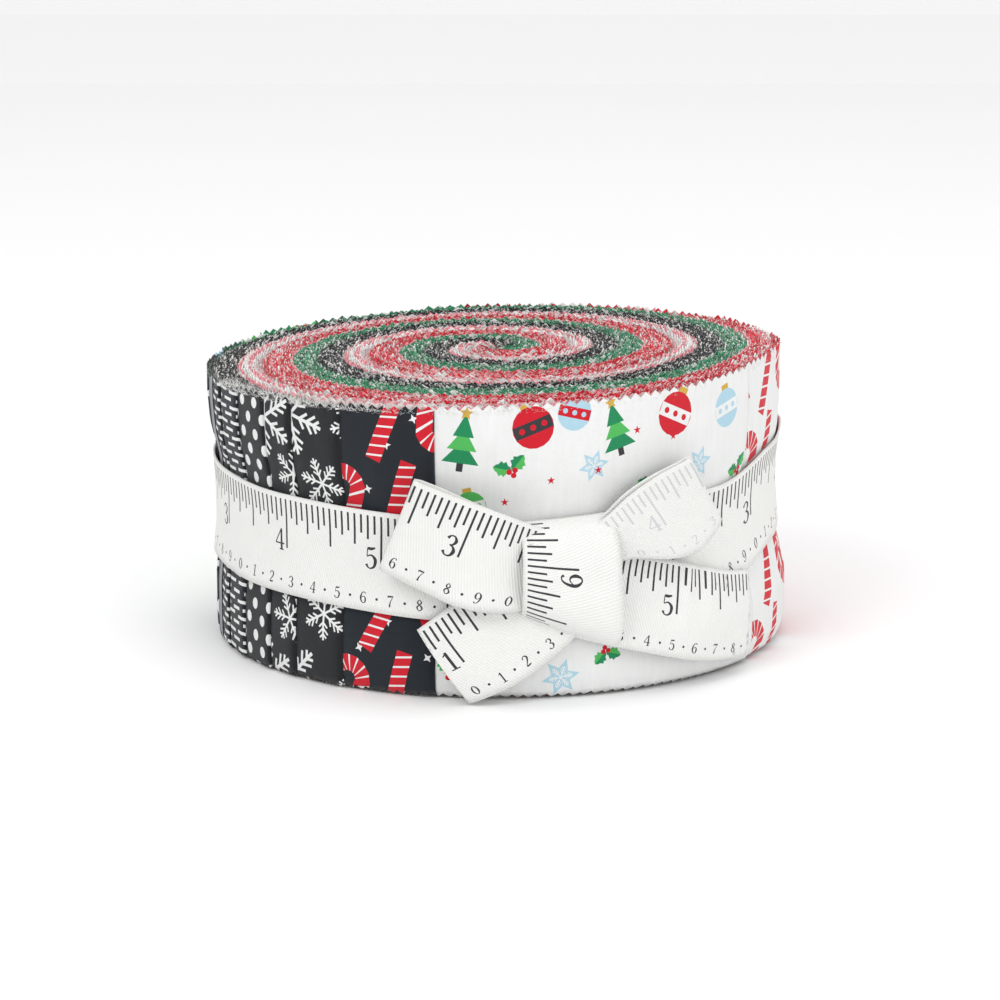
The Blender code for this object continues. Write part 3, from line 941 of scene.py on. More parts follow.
def rim_surface(
    span: tuple[float, float], inside_by: float, below: float, columns: int = 180
) -> bpy.types.Mesh:
    """A narrow band over the top's edge and down the side, for frayed threads to stand on.

    Args:
        span: Its first and last angle.
        inside_by: How far it reaches in over the top.
        below: How far it reaches down the side.
        columns: Columns of faces.

    Returns:
        The mesh.
    """
    angles = np.linspace(*span, columns + 1)
    rim = DRUM.rim(angles)
    edge = DRUM.side(angles, rim)
    rows = [
        polar(edge + 0.1 * MM, angles, rim - below),
        polar(edge - 0.1 * MM, angles, rim - 0.3 * MM),
        polar(edge - inside_by, angles, rim - 0.1 * MM),
    ]
    after = columns + 1
    faces = []
    for row in range(2):
        for index in range(row * after, row * after + columns):
            faces.append((index, index + 1, after + index + 1, after + index))
    mesh = bpy.data.meshes.new("rim_surface")
    mesh.from_pydata(np.concatenate(rows).tolist(), [], faces)
    return mesh


@dataclass
class Patch:
    """A flat shape of one dye, printed on a cloth.

    Attributes:
        outline: Its corners.
        dye: Its colour.
    """

    outline: list[Point]
    dye: Dye


def turned(outline: Iterable[Point], middle: Point, angle: float, size: float = 1.0) -> list[Point]:
    """Scales an outline, turns it about the origin and moves it to its middle."""
    cos, sin = math.cos(math.radians(angle)) * size, math.sin(math.radians(angle)) * size
    return [(middle[0] + x * cos - y * sin, middle[1] + x * sin + y * cos) for x, y in outline]


def disc(radius: float, sides: int = 12, squash: float = 1.0) -> list[Point]:
    """A round outline about the origin."""
    turns = [2.0 * math.pi * index / sides for index in range(sides)]
    return [(radius * math.cos(turn), radius * squash * math.sin(turn)) for turn in turns]


def bar(length: float, width: float) -> list[Point]:
    """A rectangle about the origin, long in x."""
    x, y = length / 2.0, width / 2.0
    return [(-x, -y), (x, -y), (x, y), (-x, y)]


def stroke(path: Sequence[Point], widths: float | Sequence[float]) -> list[list[Point]]:
    """A line along a path.

    Args:
        path: Its points.
        widths: Its width, or one width for each point.

    Returns:
        One four-sided outline for each step of the path, with mitred joints.
    """
    points = [Vector(point) for point in path]
    sizes = [widths] * len(points) if isinstance(widths, float) else list(widths)
    sides = []
    for index, point in enumerate(points):
        back = (point - points[index - 1]).normalized() if index else None
        ahead = (points[index + 1] - point).normalized() if index + 1 < len(points) else None
        direction = ((back or ahead) + (ahead or back)).normalized()
        slack = direction.dot(ahead or back)
        across = Vector((-direction.y, direction.x)) * sizes[index] / 2.0 / max(slack, 0.5)
        sides.append((point + across, point - across))
    pieces = []
    for (left, right), (next_left, next_right) in zip(sides, sides[1:]):
        pieces.append([tuple(left), tuple(right), tuple(next_right), tuple(next_left)])
    return pieces


def smooth(points: Sequence[Sequence[float]], steps: int) -> np.ndarray:
    """A smooth curve through some points of any dimension, with some steps from one to the next."""
    table = np.array(points, float)
    rows = []
    for index in range(len(table) - 1):
        before, after = table[max(index - 1, 0)], table[min(index + 2, len(table) - 1)]
        here, ahead = table[index], table[index + 1]
        for step in range(steps):
            t = step / steps
            rows.append(0.5 * (
                2.0 * here + (ahead - before) * t
                + (2.0 * before - 5.0 * here + 4.0 * ahead - after) * t**2
                + (3.0 * here - before - 3.0 * ahead + after) * t**3
            ))
    rows.append(table[-1])
    return np.array(rows)


def arc(middle: Point, radius: float, start: float, end: float, steps: int = 10) -> list[Point]:
    """Points along an arc, angles in degrees."""
    turns = [math.radians(start + (end - start) * index / steps) for index in range(steps + 1)]
    return [(middle[0] + radius * math.cos(turn), middle[1] + radius * math.sin(turn)) for turn in turns]


def cane(middle: Point, angle: float, size: float, body: Dye, stripe: Dye) -> list[Patch]:
    """A candy cane with slanting stripes.

    Args:
        middle: Its middle.
        angle: How far it is turned.
        size: Its length.
        body: Its own colour.
        stripe: Its stripes' colour.

    Returns:
        Its patches.
    """
    width, bend = 0.19 * size, 0.19 * size
    stem = [(bend, -0.5 * size + 0.12 * size * index) for index in range(6)]
    hook = arc((0.0, 0.20 * size), bend, 0.0, 200.0, 8)
    path = stem + hook[1:]
    patches = [Patch(turned(piece, middle, angle), body) for piece in stroke(path, width)]
    for piece in stroke(path, width):
        first, second, third, fourth = (Vector(corner) for corner in piece)
        slanted = [
            first.lerp(fourth, 0.10), second.lerp(third, 0.68),
            second.lerp(third, 0.88), first.lerp(fourth, 0.30),
        ]
        patches.append(Patch(turned([tuple(corner) for corner in slanted], middle, angle), stripe))
    return patches


def holly(middle: Point, angle: float, size: float) -> list[Patch]:
    """A sprig of two toned leaves and three berries."""
    patches = []
    for side, dye, tone in ((1.0, Dye.GREEN, Dye.BRIGHT_GREEN), (-1.0, Dye.BRIGHT_GREEN, Dye.GREEN)):
        spikes = []
        for index in range(9):
            share = index / 8.0
            swell = math.sin(math.pi * share) * 0.30 * size
            reach = swell if index % 2 == 0 else swell * 1.45
            spikes.append((share * size, reach))
        half = spikes + [(size, 0.0), (0.0, 0.0)]
        lower = [(x, -y) for x, y in spikes][::-1] + [(0.0, 0.0), (size, 0.0)]
        lie = angle + 90.0 - side * 58.0
        patches.append(Patch(turned(half, middle, lie), dye))
        patches.append(Patch(turned(lower, middle, lie), tone))
    for place in ((-0.16, -0.02), (0.16, -0.04), (0.0, -0.26)):
        spot = turned([(place[0] * size, place[1] * size)], middle, angle)[0]
        patches.append(Patch(turned(disc(0.15 * size, 10), spot, 0.0), Dye.RED))
    return patches


def star(middle: Point, angle: float, size: float, points: int, dye: Dye, waist: float = 0.42) -> Patch:
    """A star with any number of points."""
    outline = []
    for index in range(2 * points):
        reach = size / 2.0 * (1.0 if index % 2 == 0 else waist)
        turn = math.pi * index / points
        outline.append((reach * math.cos(turn), reach * math.sin(turn)))
    return Patch(turned(outline, middle, angle), dye)


def snowflake(middle: Point, angle: float, size: float, dye: Dye) -> list[Patch]:
    """A six-armed snow crystal with two pairs of barbs on each arm."""
    line = 0.042 * size
    patches = []
    for arm in range(6):
        lie = angle + 60.0 * arm
        spoke = [(x + 0.25 * size, y) for x, y in bar(0.5 * size, line)]
        patches.append(Patch(turned(spoke, middle, lie), dye))
        for out, reach in ((0.16, 0.13), (0.27, 0.15), (0.38, 0.10)):
            for side in (-1.0, 1.0):
                tip = (out + reach * 0.75, side * reach * 0.75)
                barb = stroke([(out * size, 0.0), (tip[0] * size, tip[1] * size)], line * 0.85)
                patches.extend(Patch(turned(piece, middle, lie), dye) for piece in barb)
    return patches


def tree(middle: Point, angle: float, size: float) -> list[Patch]:
    """An evergreen of three tiers on a dark trunk."""
    trunk = [(x, y - 0.46 * size) for x, y in bar(0.12 * size, 0.18 * size)]
    patches = [Patch(turned(trunk, middle, angle), Dye.INK)]
    for low, high, half, dye in (
        (-0.40, 0.02, 0.34, Dye.GREEN), (-0.16, 0.24, 0.27, Dye.BRIGHT_GREEN), (0.08, 0.50, 0.19, Dye.GREEN),
    ):
        tier = [(-half * size, low * size), (half * size, low * size), (0.0, high * size)]
        patches.append(Patch(turned(tier, middle, angle), dye))
    tip = turned([(0.0, 0.50 * size)], middle, angle)[0]
    patches.append(star(tip, angle + 90.0, 0.26 * size, 5, Dye.GOLD, 0.45))
    return patches


def bauble(middle: Point, angle: float, size: float, dye: Dye, stripe: Dye) -> list[Patch]:
    """A banded ball with a gold cap."""
    cap = [(x, y + 0.54 * size) for x, y in bar(0.28 * size, 0.16 * size)]
    patches = [Patch(turned(cap, middle, angle), Dye.GOLD)]
    patches.append(Patch(turned(disc(0.5 * size, 18), middle, 0.0), dye))
    belt = [(-0.475 * size, -0.15 * size), (0.475 * size, -0.15 * size), (0.475 * size, 0.15 * size)]
    belt.append((-0.475 * size, 0.15 * size))
    patches.append(Patch(turned(belt, middle, angle), stripe))
    for step in (-0.28, 0.0, 0.28):
        spot = turned([(step * size, 0.0)], middle, angle)[0]
        patches.append(Patch(turned(disc(0.075 * size, 8), spot, 0.0), dye))
    return patches


def rows_of(width: float, height: float, across: float, up: float, jitter: float, seed: int) -> list[Point]:
    """Places in staggered rows over a cloth, each a little off its spot."""
    rng = np.random.default_rng(seed)
    places = []
    for row in range(int(height / up) + 2):
        shift = 0.5 * across if row % 2 else 0.0
        for column in range(-1, int(width / across) + 2):
            nudge = rng.uniform(-jitter, jitter, 2)
            places.append((column * across + shift + nudge[0], row * up + nudge[1]))
    return places


def printed(kind: Print, width: float, height: float, inks: Sequence[Dye], seed: int) -> list[Patch]:
    """Lays out the pattern of a whole strip.

    Args:
        kind: The pattern.
        width: Width of the cloth that shows.
        height: Its height.
        inks: The dyes of the pattern, the main one first.
        seed: Seed of its unevenness.

    Returns:
        Its patches, later ones over earlier ones.
    """
    rng = np.random.default_rng(seed)
    patches: list[Patch] = []
    main, second = inks[0], inks[-1]
    if kind is Print.DASHES:
        for place in rows_of(width, height, 6.4 * MM, 1.9 * MM, 0.25 * MM, seed):
            patches.append(Patch(turned(bar(4.2 * MM, 0.75 * MM), place, rng.uniform(-3, 3)), main))
    elif kind is Print.DOTS:
        for place in rows_of(width, height, 6.0 * MM, 3.6 * MM, 0.2 * MM, seed):
            patches.append(Patch(turned(disc(1.15 * MM, 10, 1.15), place, 0.0), main))
    elif kind is Print.SNOWFLAKES:
        for index, place in enumerate(rows_of(width, height, 19.0 * MM, 15.0 * MM, 1.5 * MM, seed)):
            size = (19.0 if index % 2 else 12.0) * MM
            patches.extend(snowflake(place, rng.uniform(0, 60), size, main))
    elif kind is Print.CANES:
        for index, place in enumerate(rows_of(width, height, 17.0 * MM, 21.0 * MM, 1.0 * MM, seed)):
            lie = (22.0, -28.0, 165.0, 200.0)[index % 4] + rng.uniform(-8, 8)
            patches.extend(cane(place, lie, 19.0 * MM, main, second))
        for place in rows_of(width, height, 13.0 * MM, 9.0 * MM, 2.0 * MM, seed + 1):
            patches.insert(0, star(place, 45.0 * rng.random(), 2.2 * MM, 4, Dye.WHITE, 0.4))
    elif kind is Print.BARS:
        for step in range(-1, int(width / (2.6 * MM)) + 1):
            upright = turned(bar(height * 1.1, 1.2 * MM), (step * 2.6 * MM, height / 2.0), 90.0)
            patches.append(Patch(upright, main))
    elif kind is Print.STARS:
        for index, place in enumerate(rows_of(width, height, 7.0 * MM, 5.2 * MM, 0.7 * MM, seed)):
            size = (3.2 if index % 3 else 4.6) * MM
            patches.append(star(place, rng.uniform(0, 72), size, 5, main if index % 4 else second))
    elif kind is Print.CHECK:
        for row in range(int(height / (4.0 * MM)) + 1):
            level = turned(bar(width * 1.1, 1.4 * MM), (width / 2.0, row * 4.0 * MM), 0.0)
            patches.append(Patch(level, main))
        for step in range(int(width / (4.0 * MM)) + 1):
            upright = turned(bar(height * 1.1, 1.4 * MM), (step * 4.0 * MM, height / 2.0), 90.0)
            patches.append(Patch(upright, second))
    return patches


def sprig_cloth(width: float) -> list[Patch]:
    """The wide white strip at the front: sprigs, crystals, stars and baubles, laid out one by one.

    Args:
        width: Width of the cloth that shows.

    Returns:
        Its patches.
    """
    patches: list[Patch] = []
    for x, y, lie, size in (
        (50.0, 44.0, 8.0, 4.0), (4.2, 6.0, -25.0, 4.4), (66.0, 8.5, 40.0, 4.0), (17.5, 50.0, 20.0, 4.2),
        (72.0, 27.0, -12.0, 4.0), (38.0, 10.0, 195.0, 3.6), (78.0, 43.0, 30.0, 3.8),
    ):
        patches.extend(holly((x * MM, y * MM), lie, size * MM))
    for x, y, size in ((28.0, 5.0, 8.5), (35.5, 50.0, 7.0), (63.0, 47.0, 7.5)):
        patches.append(star((x * MM, y * MM), 12.0, size * MM, 6, Dye.SKY, 0.5))
        patches.extend(snowflake((x * MM, y * MM), 12.0, size * 0.62 * MM, Dye.WHITE))
    for x, y, lie, size in ((7.0, 56.5, -8.0, 12.0), (40.5, 57.5, 14.0, 11.0), (59.0, 20.0, -10.0, 9.0)):
        patches.extend(tree((x * MM, y * MM), lie, size * MM))
    for x, y, lie, size, dye, stripe in (
        (22.0, 59.0, 20.0, 9.0, Dye.RED, Dye.INK), (31.0, 61.5, -15.0, 7.5, Dye.SKY, Dye.RED),
        (55.5, 58.5, -25.0, 9.0, Dye.RED, Dye.WHITE), (71.5, 57.0, 10.0, 8.0, Dye.SKY, Dye.WHITE),
        (14.5, 12.0, 0.0, 7.0, Dye.RED, Dye.INK), (8.5, 42.0, 12.0, 7.0, Dye.BRIGHT_GREEN, Dye.WHITE),
    ):
        patches.extend(bauble((x * MM, y * MM), lie, size * MM, dye, stripe))
    for x, y in ((45.5, 56.5), (36.5, 49.0), (65.0, 36.0), (26.0, 47.5), (55.0, 54.0), (16.0, 43.0)):
        patches.append(star((x * MM, y * MM), 20.0, 1.9 * MM, 5, Dye.RED, 0.4))
    limit = width + 1.0 * MM
    return [patch for patch in patches if max(x for x, _ in patch.outline) < limit]


def subdivided(outline: list[Point], step: float) -> list[Point]:
    """The outline with further points on its long edges.

    Args:
        outline: Its corners.
        step: Longest distance between two points.

    Returns:
        The corners with the points between them.
    """
    points = []
    for start, end in zip(outline, outline[1:] + outline[:1]):
        pieces = max(1, math.ceil(math.dist(start, end) / step - 0.25))
        for index in range(pieces):
            share = index / pieces
            points.append((start[0] + (end[0] - start[0]) * share, start[1] + (end[1] - start[1]) * share))
    return points


def inside(outline: list[Point], spots: np.ndarray) -> np.ndarray:
    """Which of the spots lie within an outline."""
    x, y = spots.T
    within = np.zeros(len(spots), bool)
    for (x0, y0), (x1, y1) in zip(outline, outline[1:] + outline[:1]):
        if y0 == y1:
            continue
        crossed = (y0 > y) != (y1 > y)
        within ^= crossed & (x < x0 + (y - y0) * (x1 - x0) / (y1 - y0))
    return within


@dataclass
class FlatCloth:
    """A flat piece of cloth cut into triangles along its outline and its print.

    Attributes:
        outline: The cut's corners.
        patches: The print, later patches over earlier ones.
        ground: The cloth's own dye.
        spacing: Distance between two points of its surface, along and up.
    """

    outline: list[Point]
    patches: list[Patch]
    ground: Dye
    spacing: Point

    def cut(self) -> tuple[np.ndarray, list[list[int]], list[Dye]]:
        """Cuts the cloth.

        Returns:
            Its points, its triangles and the dye of each triangle.
        """
        across, up = self.spacing
        xs = [x for x, _ in self.outline]
        ys = [y for _, y in self.outline]
        points = []
        faces = []
        for outline in [self.outline] + [patch.outline for patch in self.patches]:
            start = len(points)
            points.extend(Vector(point) / MM for point in subdivided(outline, max(across, up)))
            faces.append(list(range(start, len(points))))
        edges = [(face[index - 1], face[index]) for face in faces for index in range(len(face))]
        inset = 0.3 * min(across, up)
        for x in np.arange(min(xs) + across / 2.0, max(xs) - inset, across):
            for y in np.arange(min(ys) + up, max(ys) - up / 2.0, up):
                points.append(Vector((x, y)) / MM)
        spots, _, cells, _, _, _ = delaunay_2d_cdt(points, edges, [], 0, 1e-5)
        flat = np.array([(spot.x * MM, spot.y * MM) for spot in spots])
        corners = np.array([list(cell) for cell in cells])
        centres = flat[corners].mean(axis=1)
        over = np.zeros(len(corners), int)
        for number, patch in enumerate(self.patches, 1):
            over[inside(patch.outline, centres)] = number
        kept = inside(self.outline, centres)
        dyes = [self.ground] + [patch.dye for patch in self.patches]
        return flat, corners[kept].tolist(), [dyes[number] for number in over[kept]]


def cloth_object(
    name: str,
    cloths: list[tuple[np.ndarray, list[list[int]], list[Dye], np.ndarray]],
    thickness: float,
    offset: float,
    finish: bpy.types.Material,
) -> bpy.types.Object:
    """Makes one thin closed object of some cut cloths.

    Args:
        name: Its name.
        cloths: Flat points, triangles, dyes and placed points of each cloth.
        thickness: The cloth's thickness.
        offset: -1 to put it behind the placed points, 0 for both sides.
        finish: Its material.

    Returns:
        The object.
    """
    points, faces, colours, flats = [], [], [], []
    for flat, cells, dyes, placed in cloths:
        start = sum(len(block) for block in points)
        points.append(placed)
        flats.append(flat)
        faces.extend([start + corner for corner in cell] for cell in cells)
        colours.extend(dye.value for dye in dyes)
    mesh = bpy.data.meshes.new(name)
    mesh.from_pydata(np.concatenate(points).tolist(), [], faces)
    paint_corners(mesh, "Print", np.array(colours))
    where = np.concatenate(flats)
    loops = np.empty(len(mesh.loops), np.int32)
    mesh.loops.foreach_get("vertex_index", loops)
    mesh.uv_layers.new(name="UVMap").data.foreach_set("uv", where[loops].astype(np.float32).ravel())
    bm = bmesh.new()
    bm.from_mesh(mesh)
    loose = [vertex for vertex in bm.verts if not vertex.link_faces]
    bmesh.ops.delete(bm, geom=loose, context="VERTS")
    bm.to_mesh(mesh)
    bm.free()
    mesh.materials.append(finish)
    mesh.shade_smooth()
    sheet = bpy.data.objects.new(name + "_sheet", mesh)
    bpy.context.scene.collection.objects.link(sheet)
    wall = sheet.modifiers.new("thickness", "SOLIDIFY")
    wall.thickness = thickness
    wall.offset = offset
    wall.use_even_offset = False
    bpy.context.view_layer.update()
    graph = bpy.context.evaluated_depsgraph_get()
    solid = bpy.data.meshes.new_from_object(sheet.evaluated_get(graph))
    solid.name = name
    sheet.modifiers.clear()
    bpy.data.objects.remove(sheet)
    made = bpy.data.objects.new(name, solid)
    bpy.context.scene.collection.objects.link(made)
    return made


@dataclass(frozen=True)
class OuterStrip:
    """What shows of one strip on the side of the roll.

    Attributes:
        start: Angle where it comes out from under its neighbour.
        end: Angle of its fold.
        kind: Its pattern.
        ground: The cloth's colour.
        inks: The pattern's colours.
    """

    start: float
    end: float
    kind: Print
    ground: Dye
    inks: tuple[Dye, ...]


def outer_strips() -> list[OuterStrip]:
    """The strips round the side, those at the front as the roll shows them.

    Returns:
        The strips in order of their angles.
    """
    white, red = (Dye.WHITE,), (Dye.RED,)
    back = [
        (11.0, Print.DOTS, Dye.RED, white), (19.5, Print.BARS, Dye.WHITE, red),
        (28.0, Print.SNOWFLAKES, Dye.RED, white), (36.5, Print.STARS, Dye.RED, white),
        (45.5, Print.DASHES, Dye.DARK_RED, white), (54.0, Print.CANES, Dye.RED, (Dye.WHITE, Dye.PINK)),
        (62.5, Print.CHECK, Dye.WHITE, (Dye.RED, Dye.PINK)), (71.5, Print.DOTS, Dye.RED, white),
        (80.0, Print.STARS, Dye.WHITE, (Dye.RED, Dye.GREEN)), (88.0, Print.BARS, Dye.RED, white),
        (97.0, Print.SNOWFLAKES, Dye.DARK_RED, white), (105.5, Print.DOTS, Dye.GREEN, white),
        (114.0, Print.SNOWFLAKES, Dye.GREEN, white), (123.0, Print.BARS, Dye.WHITE, (Dye.GREEN,)),
        (131.5, Print.STARS, Dye.DARK_GREEN, white),
        (140.0, Print.CANES, Dye.BRIGHT_GREEN, (Dye.WHITE, Dye.RED)),
        (148.5, Print.DASHES, Dye.GREEN, white),
        (157.5, Print.CHECK, Dye.WHITE, (Dye.GREEN, Dye.BRIGHT_GREEN)),
        (166.0, Print.DOTS, Dye.DARK_GREEN, white), (175.0, Print.SNOWFLAKES, Dye.BLACK, (Dye.SKY,)),
        (184.0, Print.STARS, Dye.BLACK, (Dye.WHITE, Dye.RED)), (193.0, Print.BARS, Dye.BLACK, (Dye.GREY,)),
    ]
    front = [
        (200.0, Print.DASHES, Dye.BLACK, white), (209.0, Print.DASHES, Dye.NAVY, white),
        (219.0, Print.DOTS, Dye.BLACK, white), (227.0, Print.SNOWFLAKES, Dye.BLACK, white),
        (239.0, Print.SNOWFLAKES, Dye.BLACK, white), (258.5, Print.CANES, Dye.NAVY, (Dye.RED, Dye.WHITE)),
        (330.0, Print.SPRIGS, Dye.WHITE, ()), (352.0, Print.CANES, Dye.WHITE, (Dye.RED, Dye.WHITE)),
        (362.0, Print.STARS, Dye.RED, white),
    ]
    strips = []
    start = 2.0
    for end, kind, ground, inks in back + front:
        strips.append(OuterStrip(start, end, kind, ground, inks))
        start = end
    return strips


@dataclass
class StripSide:
    """The outer strips of the roll, each stepping down to the next at its fold.

    Attributes:
        thickness: Thickness of the cloth.
        tooth: Distance between two pinked teeth.
        rise: Height of a tooth.
        under: How far a strip carries on beneath its neighbour's fold.
        fold: How far round a fold turns inwards.
        spacing: Distance between two points of the cloth, along and up.
    """

    thickness: float = 0.28 * MM
    tooth: float = 2.5 * MM
    rise: float = 1.0 * MM
    under: float = 0.9 * MM
    fold: float = 0.55 * MM
    spacing: Point = (1.5 * MM, 1.9 * MM)

    def zigzag(self, length: float, level: float, sign: float, seed: int) -> list[Point]:
        """A pinked edge from x = 0 to the strip's length."""
        rng = np.random.default_rng(seed)
        count = max(2, round(length / (self.tooth / 2.0)))
        points = []
        for index in range(count + 1):
            rise = self.rise * ((index + seed) % 2) + rng.uniform(-0.12, 0.12) * MM
            points.append((length * index / count, level + sign * rise))
        return points

    def outline(self, length: float, seed: int) -> list[Point]:
        """The cut of one strip, with both its pinked edges."""
        low = self.zigzag(length, self.rise * 1.25, -1.0, seed)
        high = self.zigzag(length, DRUM.width - self.rise * 0.5, 1.0, seed + 1)
        return low + high[::-1]

    def place(self, strip: OuterStrip, flat: np.ndarray, length: float, seed: int) -> np.ndarray:
        """Bends a flat strip round the roll.

        Args:
            strip: The strip.
            flat: Its flat points.
            length: Its length, with what lies beneath its neighbour.
            seed: Seed of its unevenness.

        Returns:
            Its placed points.
        """
        rng = np.random.default_rng(seed)
        x, y = flat.T
        angle = strip.start + np.degrees((x - self.under) / DRUM.radius)
        shown = np.clip((x - self.under) / (length - self.under), 0.0, 1.0)
        tall = 1.0 + (DRUM.rim(angle) / DRUM.width - 1.0) * y / DRUM.width
        height = y * tall + rng.uniform(-0.35, 0.45) * MM * (y / DRUM.width) ** 3
        height = np.maximum(height, 0.15 * MM)
        stand = DRUM.step * (shown - 0.5)
        stand = np.where(x < self.under, -DRUM.step * 0.75, stand)
        left = length - x
        turned_in = np.clip((self.fold - left) / self.fold, 0.0, 1.0)
        stand -= DRUM.step * 0.8 * turned_in**2
        pucker = np.zeros(len(x))
        for wave in range(9):
            middle, girth = rng.uniform(0.0, length), rng.uniform(1.6, 4.0) * MM
            level, reach = rng.uniform(0.1, 0.95) * DRUM.width, rng.uniform(9.0, 22.0) * MM
            size = rng.uniform(-0.22, 0.20) * MM * min(1.0, length / (14.0 * MM))
            lean = rng.uniform(-0.12, 0.12)
            off = (x - middle - lean * (y - level)) / girth
            pucker += size * np.exp(-(off**2)) * np.exp(-(((y - level) / reach) ** 2))
        ease = np.clip(left / (2.0 * MM), 0.0, 1.0) * np.clip(x / (2.0 * MM), 0.0, 1.0)
        radius = DRUM.side(angle, height) + stand + pucker * ease
        return polar(radius, angle, height)

    def build(self, finish: bpy.types.Material) -> list[bpy.types.Object]:
        """Makes the outer strips, in a few objects.

        Args:
            finish: The cotton.

        Returns:
            The objects.
        """
        batches: dict[str, list] = {"strips_back": [], "strips_front": [], "strips_sprigs": []}
        for index, strip in enumerate(outer_strips()):
            length = math.radians(strip.end - strip.start) * DRUM.radius + self.under
            if strip.kind is Print.SPRIGS:
                patches = sprig_cloth(length)
            else:
                patches = printed(strip.kind, length, DRUM.width, strip.inks, 40 + index)
            cloth = FlatCloth(self.outline(length, 20 + index), patches, strip.ground, self.spacing)
            flat, cells, dyes = cloth.cut()
            placed = self.place(strip, flat, length, 90 + index)
            batch = "strips_back" if strip.end < 190.0 else "strips_front"
            batch = "strips_sprigs" if strip.kind is Print.SPRIGS else batch
            batches[batch].append((flat, cells, dyes, placed))
        return [
            cloth_object(name, cloths, self.thickness, -1.0, finish) for name, cloths in batches.items()
        ]


# Strokes of the numerals: x, y and width of each point, in heights of the numeral about its middle
NUMERALS: dict[str, list[list[tuple[float, float, float]]]] = {
    "0": [
        [(0.0, 0.48, 0.06), (-0.21, 0.2, 0.15), (-0.21, -0.2, 0.15), (0.0, -0.48, 0.06),
         (0.21, -0.2, 0.15), (0.21, 0.2, 0.15), (0.0, 0.48, 0.06)],
    ],
    "1": [
        [(-0.16, 0.33, 0.05), (0.03, 0.42, 0.1)],
        [(0.03, 0.5, 0.14), (0.03, -0.46, 0.14)],
        [(-0.18, -0.47, 0.06), (0.24, -0.47, 0.06)],
    ],
    "2": [
        [(-0.22, 0.26, 0.15), (-0.12, 0.45, 0.07), (0.08, 0.46, 0.1), (0.21, 0.28, 0.16),
         (0.12, 0.04, 0.13), (-0.22, -0.4, 0.06)],
        [(-0.24, -0.43, 0.1), (0.0, -0.42, 0.14), (0.26, -0.38, 0.08)],
    ],
    "3": [
        [(-0.23, 0.3, 0.15), (-0.12, 0.45, 0.07), (0.06, 0.46, 0.08), (0.18, 0.27, 0.15),
         (0.08, 0.08, 0.09), (-0.06, 0.03, 0.05)],
        [(-0.06, 0.03, 0.05), (0.12, -0.02, 0.09), (0.22, -0.21, 0.17), (0.1, -0.44, 0.09),
         (-0.12, -0.46, 0.07), (-0.25, -0.31, 0.15)],
    ],
    "4": [
        [(0.12, 0.5, 0.12), (0.12, -0.46, 0.14)],
        [(0.1, 0.46, 0.06), (-0.28, -0.17, 0.06)],
        [(-0.3, -0.19, 0.07), (0.31, -0.19, 0.07)],
        [(-0.02, -0.47, 0.06), (0.26, -0.47, 0.06)],
    ],
    "5": [
        [(-0.17, 0.43, 0.12), (0.02, 0.42, 0.14), (0.21, 0.48, 0.07)],
        [(-0.17, 0.44, 0.05), (-0.2, 0.06, 0.05)],
        [(-0.2, 0.05, 0.05), (0.02, 0.13, 0.08), (0.21, -0.06, 0.16), (0.16, -0.36, 0.12),
         (-0.02, -0.48, 0.07), (-0.16, -0.44, 0.07), (-0.24, -0.3, 0.14)],
    ],
    "6": [
        [(0.21, 0.35, 0.14), (0.1, 0.47, 0.06), (-0.1, 0.38, 0.09), (-0.23, 0.06, 0.15),
         (-0.21, -0.25, 0.15), (-0.02, -0.47, 0.07), (0.15, -0.42, 0.1), (0.22, -0.18, 0.16),
         (0.14, 0.04, 0.1), (-0.02, 0.08, 0.06), (-0.18, -0.06, 0.05)],
    ],
    "7": [
        [(-0.25, 0.28, 0.04), (-0.22, 0.42, 0.12), (0.0, 0.42, 0.15), (0.25, 0.46, 0.07)],
        [(0.25, 0.45, 0.05), (0.04, 0.08, 0.07), (-0.06, -0.28, 0.13), (-0.06, -0.49, 0.15)],
    ],
    "8": [
        [(0.0, 0.04, 0.09), (-0.17, 0.2, 0.13), (-0.02, 0.46, 0.06), (0.16, 0.24, 0.12),
         (0.0, 0.04, 0.09)],
        [(0.0, 0.04, 0.09), (-0.22, -0.2, 0.13), (-0.01, -0.47, 0.06), (0.22, -0.24, 0.15),
         (0.0, 0.04, 0.09)],
    ],
}


def digit(number: str, height: float) -> list[list[Point]]:
    """A numeral with thick and thin strokes, about its middle.

    Args:
        number: One figure.
        height: Its height.

    Returns:
        The outlines of its strokes.
    """
    half_turn = -1.0 if number == "9" else 1.0
    outlines = []
    for table in NUMERALS["6" if number == "9" else number]:
        line = smooth(table, 3 if len(table) > 2 else 1) * height
        path = [(x * half_turn, y * half_turn) for x, y in line[:, :2]]
        outlines.extend(stroke(path, [max(float(width), 0.045 * height) for width in line[:, 2]]))
    return outlines


